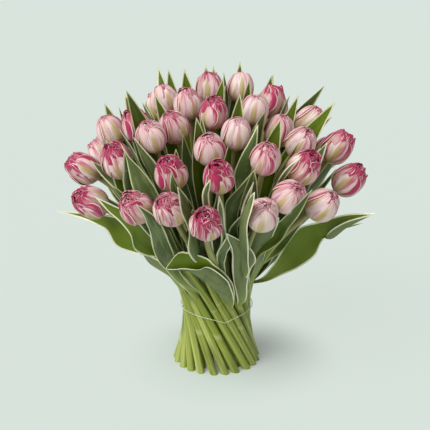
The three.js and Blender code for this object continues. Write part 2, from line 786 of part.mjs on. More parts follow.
function placedSections(flower, { from, stations, tip }) {
  const placed = [...stations, [tip, tip, tip]].map((station) => {
    const [left, right, keel] = station.map(([column, row, depth]) => sightPoint([column, row], depth));
    return { edges: [left, right], mid: keel ?? left.clone().lerp(right, 0.5), keeled: Boolean(keel) };
  });
  const clasp = along(flower, from).point;
  const middles = [clasp, ...placed.map(({ mid }) => mid)];
  placed.forEach((section, i) => {
    const run = middles[Math.min(i + 2, placed.length)].clone().sub(middles[i]);
    const [left, right] = section.edges;
    section.face = right.clone().sub(left).cross(run).normalize();
    if (!section.keeled) section.mid.addScaledVector(section.face, KEEL_DEPTH * left.distanceTo(right));
  });
  const { face, mid, edges: [left, right] } = placed[0];
  const sideways = right.clone().sub(left).setLength(CLASP_HALF_WIDTH);
  const start = clasp.addScaledVector(mid.clone().sub(clasp).normalize(), 0.4 * STEM_RADIUS);
  const edges = [start.clone().sub(sideways), start.clone().add(sideways)];
  return [{ mid: start, face, edges }, ...placed];
}

function leafSolid(flower, leaf) {
  const sections = leaf.tip ? placedSections(flower, leaf) : clearSections(flower, leaf);
  const tip = sections.pop().mid;
  const corners = sections.flatMap(({ mid, face, edges }) => [
    edges[0],
    mid.clone().addScaledVector(face, LEAF_THICKNESS / 2),
    edges[1],
    mid.clone().addScaledVector(face, -LEAF_THICKNESS / 2),
  ]);
  corners.push(tip);
  const last = (sections.length - 1) * 4;
  const triangles = [...skin(sections.length, 4, (i) => i === 1 || i === 3), ...cap(0, 4, true)];
  for (let i = 0; i < 4; i += 1) triangles.push([last + i, last + ((i + 1) % 4), corners.length - 1]);
  return toSolid(corners, triangles);
}

// A leaf that rises beside its head: how far its tip passes the top of the bloom, and where
function risingLeaf(flower, kind, bearing, past) {
  const { index, stemLength, size } = flower;
  const from = draw(RISING.from, index, kind);
  const length = stemLength + size.length + past - from;
  const width = draw(RISING.width, index, kind + 1);
  return { ...RISING, from, length, width, bearing };
}

// Which leaves each flower has
function rimLeaves(flower) {
  const { index, stemLength, placed, more, fewer } = flower;
  const hand = index % 2 ? 1 : -1;
  const inward = 180 - hand * draw(INWARD.bearing, index, 23);
  const inner = risingLeaf(flower, 21, inward, draw(INWARD.past, index, 24));
  if (placed) {
    const extra = more.map(({ bearing, past, width }, i) => (
      { ...risingLeaf(flower, 44 + i, bearing, past), width, fold: FRONT_FOLD, allowed: inFrontOfStems }
    ));
    return fewer ? [...placed, ...extra] : [...placed, ...extra, inner];
  }
  const from = draw(OUTER.from, index, 11);
  const length = stemLength + draw(OUTER.past, index, 12) - from;
  const bearing = hand * draw(OUTER.bearing, index, 14);
  const width = draw(OUTER.width, index, 13);
  const spread = draw(OUTER.spread, index, 15);
  const outer = { from, length, width, bearing, spread };
  if (index % 3 === 0) return [outer, inner];
  const beside = -hand * draw(SIDEWAYS.bearing, index, 28);
  return [outer, inner, risingLeaf(flower, 26, beside, draw(SIDEWAYS.past, index, 29))];
}

// An inner tulip has one leaf behind its head and one before it, to one side
function innerLeaves(flower) {
  const { index, ringRadius, placed = [], fewer } = flower;
  const hand = index % 2 ? 1 : -1;
  const past = ringRadius === CENTRE_RING ? BEHIND_HEAD.centrePast : BEHIND_HEAD.past;
  const round = THREE.MathUtils.radToDeg(flower.headAngle);
  const behind = 90 + draw(BEHIND_HEAD.turn, index, 31) - round;
  const before = -90 + hand * draw(BEFORE_HEAD.turn, index, 38) - round;
  return fewer ? placed : [
    ...placed,
    risingLeaf(flower, 32, behind, draw(past, index, 36)),
    risingLeaf(flower, 34, before, draw(BEFORE_HEAD.past, index, 37)),
  ];
}

// A leaf turns to the widest gap between the heads near its bearing
const GAP_TURNS = [0, 12, -12, 24, -24, 36, -36, 48, -48];

function settleLeaf(flower, leaf) {
  if (leaf.allowed || leaf.tip) return leaf;
  const beside = [0, 0.35, 0.7].map((t) => flower.stemLength + t * flower.size.length);
  const wanted = flower.size.radius + 12;
  const openness = (turn) => Math.min(...beside.map((length) => {
    const { point, outward, side } = along(flower, length);
    const [out] = turnPair(outward, side, degrees(leaf.bearing + turn));
    return reachWithin(flower, point, out, wanted, nearOwn);
  }));
  const score = (turn) => openness(turn) - Math.abs(turn) * 0.03;
  const best = GAP_TURNS.reduce((a, b) => (score(b) > score(a) ? b : a));
  return { ...leaf, bearing: leaf.bearing + best };
}

function leafySolid(flower) {
  const leaves = (flower.ringRadius === RIM_RING ? rimLeaves : innerLeaves)(flower);
  return leaves.map((leaf) => leafSolid(flower, settleLeaf(flower, leaf)))
    .reduce((solid, leaf) => solid.add(leaf), stemSolid(flower));
}

// The tie: one turn of thin clear cord that dips at the front
const TIE_STATIONS = 28;

function tieGeometry() {
  const corners = [];
  for (let i = 0; i < TIE_STATIONS; i += 1) {
    const angle = (i / TIE_STATIONS) * 2 * Math.PI;
    const fromDip = Math.abs(wrap(angle - degrees(TIE_DIP_ANGLE)));
    const sag = TIE_DIP * Math.exp(-fromDip / degrees(TIE_DIP_SPREAD));
    const height = TIE_HEIGHT - sag;
    for (const [out, rise] of [[0, -0.5], [1, -0.5], [1, 0.5], [0, 0.5]]) {
      corners.push(polar(TIE_RADIUS + out * TIE_THICKNESS, angle, height + rise * TIE_THICKNESS));
    }
  }
  const triangles = skin(TIE_STATIONS + 1, 4).map((t) => t.map((c) => c % corners.length).reverse());
  return toGeometry(toSolid(corners, triangles));
}

// Materials
const petalFinish = new THREE.MeshStandardMaterial({ color: 0xd98fae, roughness: 0.55 });
const leafFinish = new THREE.MeshStandardMaterial({ color: 0x5d7a45, roughness: 0.5 });
const tieFinish = new THREE.MeshStandardMaterial({ color: 0xe6eadf, roughness: 0.3 });

const bunch = new THREE.Group();
bunch.position.set(CENTRE_SHIFT[0], CENTRE_SHIFT[1], 0);

function addPiece(name, geometry, material) {
  const piece = new THREE.Mesh(geometry, material);
  piece.name = name;
  bunch.add(piece);
}

flowers.forEach((flower, i) => {
  const name = `bloom_${String(i + 1).padStart(2, "0")}`;
  addPiece(name, toGeometry(bloomSolid(flower)), petalFinish);
});

for (let sector = 0; sector < SECTORS; sector += 1) {
  const joined = (ring) => ring.filter((flower) => flower.sector === sector).map(leafySolid)
    .reduce((solid, stem) => solid.add(stem));
  addPiece(`rim_stems_${sector + 1}`, toGeometry(joined(rim)), leafFinish);
  addPiece(`core_stems_${sector + 1}`, toGeometry(joined([...middle, ...centre])), leafFinish);
}

addPiece("tie", tieGeometry(), tieFinish);

export default bunch;
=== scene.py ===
# %% [markdown]
# # A hand-tied bunch of double tulips
# Forty-two double tulips, crossed in a spiral, tied with a thin clear cord and stood on their cut
# ends. The construction model already says where every bloom and leafy stem is. This lesson grows
# real petals, leaves and stems in those places, and gives them their colours.
# The whole bunch is worked out here in millimetres, by the same rules as the construction model,
# and becomes metres only when a mesh is made.

# %% Load the frame
import math

import bpy
import numpy as np
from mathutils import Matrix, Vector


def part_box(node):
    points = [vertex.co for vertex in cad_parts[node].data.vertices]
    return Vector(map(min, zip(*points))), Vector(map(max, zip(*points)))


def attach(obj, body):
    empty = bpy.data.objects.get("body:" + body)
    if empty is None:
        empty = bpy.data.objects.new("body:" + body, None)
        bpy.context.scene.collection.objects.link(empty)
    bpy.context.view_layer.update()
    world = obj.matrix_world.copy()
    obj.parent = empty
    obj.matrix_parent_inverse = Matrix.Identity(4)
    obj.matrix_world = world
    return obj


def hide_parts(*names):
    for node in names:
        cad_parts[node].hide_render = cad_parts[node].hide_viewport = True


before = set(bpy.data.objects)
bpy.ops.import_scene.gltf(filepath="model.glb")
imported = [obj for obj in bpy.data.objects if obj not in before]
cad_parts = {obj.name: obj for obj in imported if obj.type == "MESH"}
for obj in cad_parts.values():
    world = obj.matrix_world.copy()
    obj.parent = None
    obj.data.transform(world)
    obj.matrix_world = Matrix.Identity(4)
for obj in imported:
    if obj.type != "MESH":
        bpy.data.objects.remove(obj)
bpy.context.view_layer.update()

# %% Driving sizes
MM = 0.001
STEM_RADIUS = 5.0
NECK_RADIUS = 3.4
WAIST_HEIGHT = 67.0
RIM_RING = 38.4
MIDDLE_RING = 28.1
CENTRE_RING = 19.2
TWIST_BELOW_WAIST = math.radians(41)
TWIST_ABOVE_WAIST = math.radians(55)
DOME_REACH = 281.0
DOME_FALL = 43.0
DOME_FALL_LEAN = 45.0
RIM_BLOOM = {"radius": 18.6, "length": 46.0}
MIDDLE_BLOOM = {"radius": 17.4, "length": 43.0}
CENTRE_BLOOM = {"radius": 16.6, "length": 42.0}
BLOOM_WIDEST = 0.42
TIE_RADIUS = 44.8
TIE_THICKNESS = 1.3
TIE_HEIGHT = 76.0
TIE_DIP = 9.0
TIE_DIP_ANGLE = math.radians(-77)
TIE_DIP_SPREAD = math.radians(25)
CENTRE_SHIFT = np.array([2.5, 6.4, 0.0])

# %% [markdown]
# ## The camera comes first
# The photograph was taken from in front and 20 degrees above, from far enough away that the
# bunch hardly shows perspective. Every head was placed on a sight line of this camera, so the
# camera and the heads use the same few values. One photograph pixel is 1.25 mm at the axis.

# %% The sight
SIGHT_SCALE = 1.25
SIGHT_PITCH = math.radians(20)
SIGHT_DISTANCE = 1750.0
SIGHT_HEIGHT = 195.0
SIGHT_CENTRE = 215.0
AXIS_COLUMN = 216.7
SENSOR_WIDTH = 36.0

SIGHT_RIGHT = np.array([1.0, 0.0, 0.0])
SIGHT_UP = np.array([0.0, math.sin(SIGHT_PITCH), math.cos(SIGHT_PITCH)])
SIGHT_AHEAD = np.array([0.0, math.cos(SIGHT_PITCH), -math.sin(SIGHT_PITCH)])
SIGHT_AIM = np.array([-(AXIS_COLUMN - SIGHT_CENTRE) * SIGHT_SCALE, 0.0, SIGHT_HEIGHT])
SIGHT_EYE = SIGHT_AIM - SIGHT_AHEAD * SIGHT_DISTANCE


def sight_point(column, row, depth):
    """The point on the sight line of a picture point that lies so far behind the axis."""
    line = SIGHT_AHEAD * SIGHT_DISTANCE
    line = line + SIGHT_RIGHT * (column - SIGHT_CENTRE) * SIGHT_SCALE
    line = line + SIGHT_UP * (SIGHT_CENTRE - row) * SIGHT_SCALE
    return SIGHT_EYE + line * (depth - SIGHT_EYE[1]) / line[1]


# %% The camera
def new_object(name, data):
    """An object for a mesh, a light or a camera, linked to the scene."""
    item = bpy.data.objects.new(name, data)
    bpy.context.collection.objects.link(item)
    return item


lens = bpy.data.cameras.new("camera")
lens.sensor_width = SENSOR_WIDTH
lens.lens = SENSOR_WIDTH * SIGHT_DISTANCE / (2 * SIGHT_CENTRE * SIGHT_SCALE)
lens.dof.use_dof = False
camera = new_object("camera", lens)
camera.location = (SIGHT_EYE + CENTRE_SHIFT) * MM
camera.rotation_euler = (math.pi / 2 - SIGHT_PITCH, 0.0, 0.0)
bpy.context.scene.camera = camera
print("camera: lens", round(lens.lens, 1), "mm at", [round(x, 3) for x in camera.location])

# %% [markdown]
# ## The heads
# Thirty-one heads show in the photograph. Each line gives where the middle of the head is in the
# picture, how far it lies behind the axis, how its neck turns from upright, how far it stands
# open, how red it is, and how its outer petal is turned from the viewer, in degrees. Some lines
# also name the leaves that were placed one by one for that tulip, and say whether it has more
# or fewer leaves by the rule. The other heads fill the far side by a rule.

# %% The heads that show
RIM_HEADS = [
    {"at": (206, 224), "depth": -164, "turn": 0, "open": 0.9, "red": 0.85, "petal": 20,
     "placed": ["nodding_leaf", "small_leaf", "narrow_leaf", "upright_leaf"], "fewer": True},
    {"at": (170, 210), "depth": -150, "turn": -26, "open": 0.6, "red": 0.5, "petal": 10,
     "placed": ["folded_leaf", "behind_leaf", "between_leaf"], "more": ["beside_right"],
     "fewer": True},
    {"at": (136, 208), "depth": -132, "turn": -40, "open": 0.7, "red": 0.5, "petal": 35,
     "placed": ["left_strap", "left_fan", "left_tall"]},
    {"at": (92, 203), "depth": -78, "turn": -63, "open": 0.9, "red": 0.8, "petal": 60,
     "placed": ["left_low_fan"]},
    {"at": (84.8, 169), "depth": 4, "turn": -58, "open": 0.8, "red": 0.75, "petal": 0},
    {"at": (117.6, 161.8), "depth": -70, "turn": -20, "open": 0.9, "red": 0.75, "petal": -15},
    {"at": (171, 174), "depth": -124, "turn": -10, "open": 0.9, "red": 0.9, "petal": 30,
     "placed": []},
    {"at": (262, 215), "depth": -153, "turn": 25, "open": 0.1, "red": 0.2, "petal": 15,
     "placed": ["pointed_leaf", "dark_leaf", "light_leaf"], "more": ["beside_left"],
     "fewer": True},
    {"at": (288.5, 197), "depth": -130, "turn": 45, "open": 0.2, "red": 0.35, "petal": -10,
     "placed": ["right_strap"], "more": ["front_left"]},
    {"at": (303, 168), "depth": -103, "turn": 39, "open": 0.8, "red": 0.9, "petal": 40,
     "placed": ["straight_leaf"]},
    {"at": (322, 205), "depth": -108, "turn": 53, "open": 0.1, "red": 0.3, "petal": 25,
     "placed": ["right_fan"]},
    {"at": (348, 181), "depth": -30, "turn": 49, "open": 0.9, "red": 0.95, "petal": -5},
    {"at": (337, 148.5), "depth": 18, "turn": 38, "open": 0.8, "red": 0.85, "petal": 5},
]
MIDDLE_HEADS = [
    {"at": (111.5, 131.5), "depth": 24, "turn": -27, "open": 0.3, "red": 0.4, "petal": 20},
    {"at": (137, 126.6), "depth": -15, "turn": -20, "open": 0.8, "red": 0.9, "petal": 40},
    {"at": (151.5, 137), "depth": -80, "turn": -20, "open": 0.3, "red": 0.3, "petal": 0},
    {"at": (174.5, 128), "depth": -50, "turn": -18, "open": 0.4, "red": 0.4, "petal": 30},
    {"at": (209.6, 150), "depth": -105, "turn": 0, "open": 0.3, "red": 0.35, "petal": 28},
    {"at": (219, 177.5), "depth": -145, "turn": -5, "open": 0.9, "red": 0.9, "petal": 10,
     "fewer": True},
    {"at": (236.4, 134), "depth": -78, "turn": 5, "open": 0.1, "red": 0.15, "petal": 12},
    {"at": (265.4, 159.4), "depth": -116, "turn": 12, "open": 0.4, "red": 0.45, "petal": -20,
     "placed": ["tall_leaf"]},
    {"at": (279, 131.5), "depth": -27, "turn": 17, "open": 0.2, "red": 0.35, "petal": -25},
    {"at": (300.6, 143.6), "depth": -66, "turn": 36, "open": 0.2, "red": 0.3, "petal": 0},
    {"at": (309, 122), "depth": 35, "turn": 45, "open": 0.5, "red": 0.5, "petal": 30},
]
CENTRE_HEADS = [
    {"at": (188, 105), "depth": -15, "turn": -8, "open": 0.5, "red": 0.4, "petal": 25},
    {"at": (213, 114.5), "depth": -52, "turn": 9, "open": 0.7, "red": 0.8, "petal": -35},
    {"at": (254.5, 111), "depth": -30, "turn": 12, "open": 0.1, "red": 0.2, "petal": -5},
    {"at": (271.5, 102.4), "depth": 30, "turn": 12, "open": 0.8, "red": 0.9, "petal": -35},
    {"at": (241, 88), "depth": 72, "turn": 4, "open": 0.1, "red": 0.12, "petal": 5},
    {"at": (209.6, 89), "depth": 50, "turn": 0, "open": 0.6, "red": 0.55, "petal": -12},
    {"at": (165, 101), "depth": 30, "turn": -13, "open": 0.2, "red": 0.3, "petal": 20},
]
RIM_BACK = {"round": [28, 46, 64, 82, 100, 118, 136, 154], "lean": 41}
MIDDLE_BACK = {"round": [50, 90, 130], "lean": 25}


# %% Small helpers for places and numbers
UP = np.array([0.0, 0.0, 1.0])
WAIST_CENTRE = np.array([0.0, 0.0, WAIST_HEIGHT])


def unit(vector):
    """The same direction with length one, for one vector or a whole array of them."""
    return vector / np.maximum(np.linalg.norm(vector, axis=-1, keepdims=True), 1e-9)


def smooth(low, high, x):
    """An even rise from 0 at low to 1 at high."""
    part = np.clip((x - low) / (high - low), 0.0, 1.0)
    return part * part * (3 - 2 * part)


def vary(index, kind):
    """A number from 0 to 1 that is always the same for the same pair."""
    wave = math.sin(index * 12.9898 + kind * 78.233) * 43758.5453
    return wave - math.floor(wave)


def polar(radius, angle, height):
    return np.array([radius * math.cos(angle), radius * math.sin(angle), height])


def wrap(angle):
    return math.atan2(math.sin(angle), math.cos(angle))


def lerp(a, b, part):
    return a + (b - a) * part


# %% Put every head in its place
class Flower:
    """One tulip: its head, the way its neck points, and later its seat, track and leaves."""

    def __init__(self, head, axis, size, opened, red, entry):
        self.head = head
        self.axis = axis
        self.size = size
        self.opened = opened
        self.red = red
        self.petal = entry.get("petal")
        self.placed = entry.get("placed")
        self.more = entry.get("more", ())
        self.fewer = entry.get("fewer", False)
        self.head_angle = math.atan2(head[1], head[0]) % (2 * math.pi)


def seen_flower(entry, size):
    head = sight_point(*entry["at"], entry["depth"])
    facing = float(unit(head - WAIST_CENTRE) @ SIGHT_AHEAD)
    sideways = math.sqrt(1 - facing * facing)
    turn = math.radians(entry["turn"])
    axis = SIGHT_AHEAD * facing + SIGHT_RIGHT * sideways * math.sin(turn)
    axis = axis + SIGHT_UP * sideways * math.cos(turn)
    return Flower(head, axis, size, entry["open"], entry["red"], entry)


def back_flower(around, lean, index, size):
    reach = DOME_REACH - DOME_FALL * (lean / DOME_FALL_LEAN) ** 2
    tilt = math.radians(lean)
    head = polar(reach * math.sin(tilt), math.radians(around), reach * math.cos(tilt))
    head = head + WAIST_CENTRE
    red = 0.2 + 0.7 * vary(index, 6)
    return Flower(head, unit(head - WAIST_CENTRE), size, vary(index, 1), red, {})


def ring_of_flowers(size, seen, back=None):
    ring = [seen_flower(entry, size) for entry in seen]
    if back:
        ring += [back_flower(a, back["lean"], i, size) for i, a in enumerate(back["round"])]
    return sorted(ring, key=lambda flower: flower.head_angle)


rim = ring_of_flowers(RIM_BLOOM, RIM_HEADS, RIM_BACK)
middle = ring_of_flowers(MIDDLE_BLOOM, MIDDLE_HEADS, MIDDLE_BACK)
centre = ring_of_flowers(CENTRE_BLOOM, CENTRE_HEADS)
print("heads:", len(rim), "in the rim,", len(middle), "in the middle ring,", len(centre),
      "at the centre")

# %% [markdown]
# ## The spiral of stems
# A florist adds each stem at a slant, so all of them cross at one waist and spread both ways. Seven
# sectors of six stems stand round the waist. Each stem is straight from its foot to the waist
# and then bends to its head on one curve, its track. Leaves are placed by the same tracks.

# %% Seat the stems at the waist
SECTORS = 7
SECTOR = 2 * math.pi / SECTORS
RIM_STEP = (SECTOR / 3) * 0.93
PAIR_STEP = (SECTOR / 2) * 0.805


def seat_stems(flowers, ring_radius, places):
    each = len(places)
    seats = [(i // each) * SECTOR + places[i % each] for i in range(len(flowers))]
    wanted = [f.head_angle + TWIST_ABOVE_WAIST - seat for f, seat in zip(flowers, seats)]
    offset = math.atan2(sum(map(math.sin, wanted)), sum(map(math.cos, wanted)))
    for i, flower in enumerate(flowers):
        flower.waist_angle = seats[i] + offset
        flower.ring_radius = ring_radius
        flower.sector = i // each
    return offset


def seat_centre(flowers, pair_offset):
    """Each centre stem stands in the hollow of the pair whose sector suits its head best."""
    first = flowers[0].head_angle + TWIST_ABOVE_WAIST
    shift = math.floor((first - pair_offset) / SECTOR + 0.5)
    for i, flower in enumerate(flowers):
        flower.waist_angle = pair_offset + (i + shift) * SECTOR
        flower.ring_radius = CENTRE_RING
        flower.sector = (i + shift) % SECTORS


seat_stems(rim, RIM_RING, [-RIM_STEP, 0, RIM_STEP])
seat_centre(centre, seat_stems(middle, MIDDLE_RING, [-PAIR_STEP / 2, PAIR_STEP / 2]))
flowers = rim + middle + centre
for place, flower in enumerate(flowers):
    flower.index = place

# %% Lay the tracks
TRACK_STEPS = 26
TRACK_BEYOND = 130.0
RISE_FROM_WAIST = 60.0
RISE_TO_HEAD = 80.0
HEAD_ABOVE_BASE = 0.45
SWIRL_LENGTH = 140.0


def bezier(a, b, c, d, steps):
    t = np.linspace(0, 1, steps + 1)[:, None]
    return (1 - t) ** 3 * a + 3 * (1 - t) ** 2 * t * b + 3 * (1 - t) * t**2 * c + t**3 * d


def lay_track(flower):
    angle = flower.waist_angle
    flower.waist = polar(flower.ring_radius, angle, WAIST_HEIGHT)
    foot_radius = flower.ring_radius / math.cos(TWIST_BELOW_WAIST)
    flower.foot = polar(foot_radius, angle + TWIST_BELOW_WAIST, 0.0)
    flower.rise = unit(flower.waist - flower.foot)
    flower.base = flower.head - flower.axis * HEAD_ABOVE_BASE * flower.size["length"]
    lower = flower.waist + flower.rise * RISE_FROM_WAIST
    upper = flower.base - flower.axis * RISE_TO_HEAD
    points = bezier(flower.waist, lower, upper, flower.base, TRACK_STEPS)
    steps = np.linalg.norm(np.diff(points, axis=0), axis=1)
    flower.stem_length = float(steps.sum())
    flower.points = np.vstack([points, flower.base + flower.axis * TRACK_BEYOND])
    flower.lengths = np.concatenate([[0], np.cumsum(steps), [flower.stem_length + TRACK_BEYOND]])


for flower in flowers:
    lay_track(flower)


def along(flower, length):
    """Where a track is, which way it runs, and its outward and side directions."""
    lengths = flower.lengths
    i = int(np.clip(np.searchsorted(lengths, length, side="left"), 1, len(lengths) - 1))
    part = (length - lengths[i - 1]) / (lengths[i] - lengths[i - 1])
    point = lerp(flower.points[i - 1], flower.points[i], part)
    run = unit(flower.points[i] - flower.points[i - 1])
    swing = wrap(flower.head_angle - flower.waist_angle)
    outward = polar(1, flower.waist_angle + swing * smooth(0, SWIRL_LENGTH, length), 0)
    outward = unit(outward - run * (outward @ run))
    return point, run, outward, np.cross(run, outward)


tracks = np.array([flower.points for flower in flowers])
TRACK_STARTS = tracks[:, :-1]
TRACK_RUNS = np.diff(tracks, axis=1)
TRACK_SQUARES = (TRACK_RUNS**2).sum(axis=2)
HEAD_BASES = np.array([flower.base for flower in flowers])
HEAD_AXES = np.array([flower.axis for flower in flowers])
HEAD_RADII = np.array([flower.size["radius"] for flower in flowers])
HEAD_LENGTHS = np.array([flower.size["length"] for flower in flowers])
print("tracks: stems", round(min(f.stem_length for f in flowers)), "to",
      round(max(f.stem_length for f in flowers)), "mm above the waist")

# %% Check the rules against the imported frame
far_off = []
for flower in flowers:
    low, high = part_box(f"bloom_{flower.index + 1:02d}")
    middle_of_box = (np.array(low) + np.array(high)) / 2 / MM - CENTRE_SHIFT
    expected = flower.base + flower.axis * flower.size["length"] / 2
    far_off.append(float(np.linalg.norm(middle_of_box - expected)))
print("bloom places differ from the frame by", round(max(far_off), 2), "mm at most")

# %% [markdown]
# ## Room for the leaves
# Leaves in a tight bunch can't pass through stems and heads. An ordinary leaf stays nearer to
# its own track than to any other, which shares the space out fairly. Some in the front row pass
# before other stems, as long as they keep clear of them and of the heads.

# %% Measure the room
LEAF_ROOM = 2.4
FRONT_ROOM = 11.0
REACH_TRIES = 9


def distances_to_tracks(point):
    away = point - TRACK_STARTS
    part = np.clip((away * TRACK_RUNS).sum(axis=2) / TRACK_SQUARES, 0, 1)
    away = away - part[..., None] * TRACK_RUNS
    return np.sqrt((away**2).sum(axis=2).min(axis=1))


def near_own(flower, point):
    gaps = distances_to_tracks(point)
    return np.delete(gaps, flower.index).min() - gaps[flower.index] >= LEAF_ROOM


def clear_of_heads(flower, point):
    """Whether a point keeps clear of every bloom but the leaf's own."""
    away = point - HEAD_BASES
    height = (away * HEAD_AXES).sum(axis=1)
    aside = np.linalg.norm(away - height[:, None] * HEAD_AXES, axis=1)
    beside = (height >= -FRONT_ROOM) & (height <= HEAD_LENGTHS + FRONT_ROOM)
    near = beside & (aside < HEAD_RADII + LEAF_ROOM)
    near[flower.index] = False
    return not near.any()


def in_front_of_stems(flower, point):
    if near_own(flower, point):
        return True
    others = np.delete(distances_to_tracks(point), flower.index).min()
    return others >= FRONT_ROOM and clear_of_heads(flower, point)


def reach_within(flower, start, direction, wanted, allowed):
    """How far a blade may reach from a point before it leaves its room."""
    if allowed(flower, start + direction * wanted):
        return wanted
    low = 0.0
    high = wanted
    for _ in range(REACH_TRIES):
        reach = (low + high) / 2
        if allowed(flower, start + direction * reach):
            low = reach
        else:
            high = reach
    return low


# %% [markdown]
# ## Which leaves each tulip has
# A tulip leaf clasps the stem at its base, rises or spreads, and ends in a long point. The
# leaves that show most were placed one by one. Each leaves its stem at "start", then passes
# through stations that give the two edges of the blade and, where it is folded, its keel. Every
# corner is a column, a row and a depth. All other leaves follow a rule.

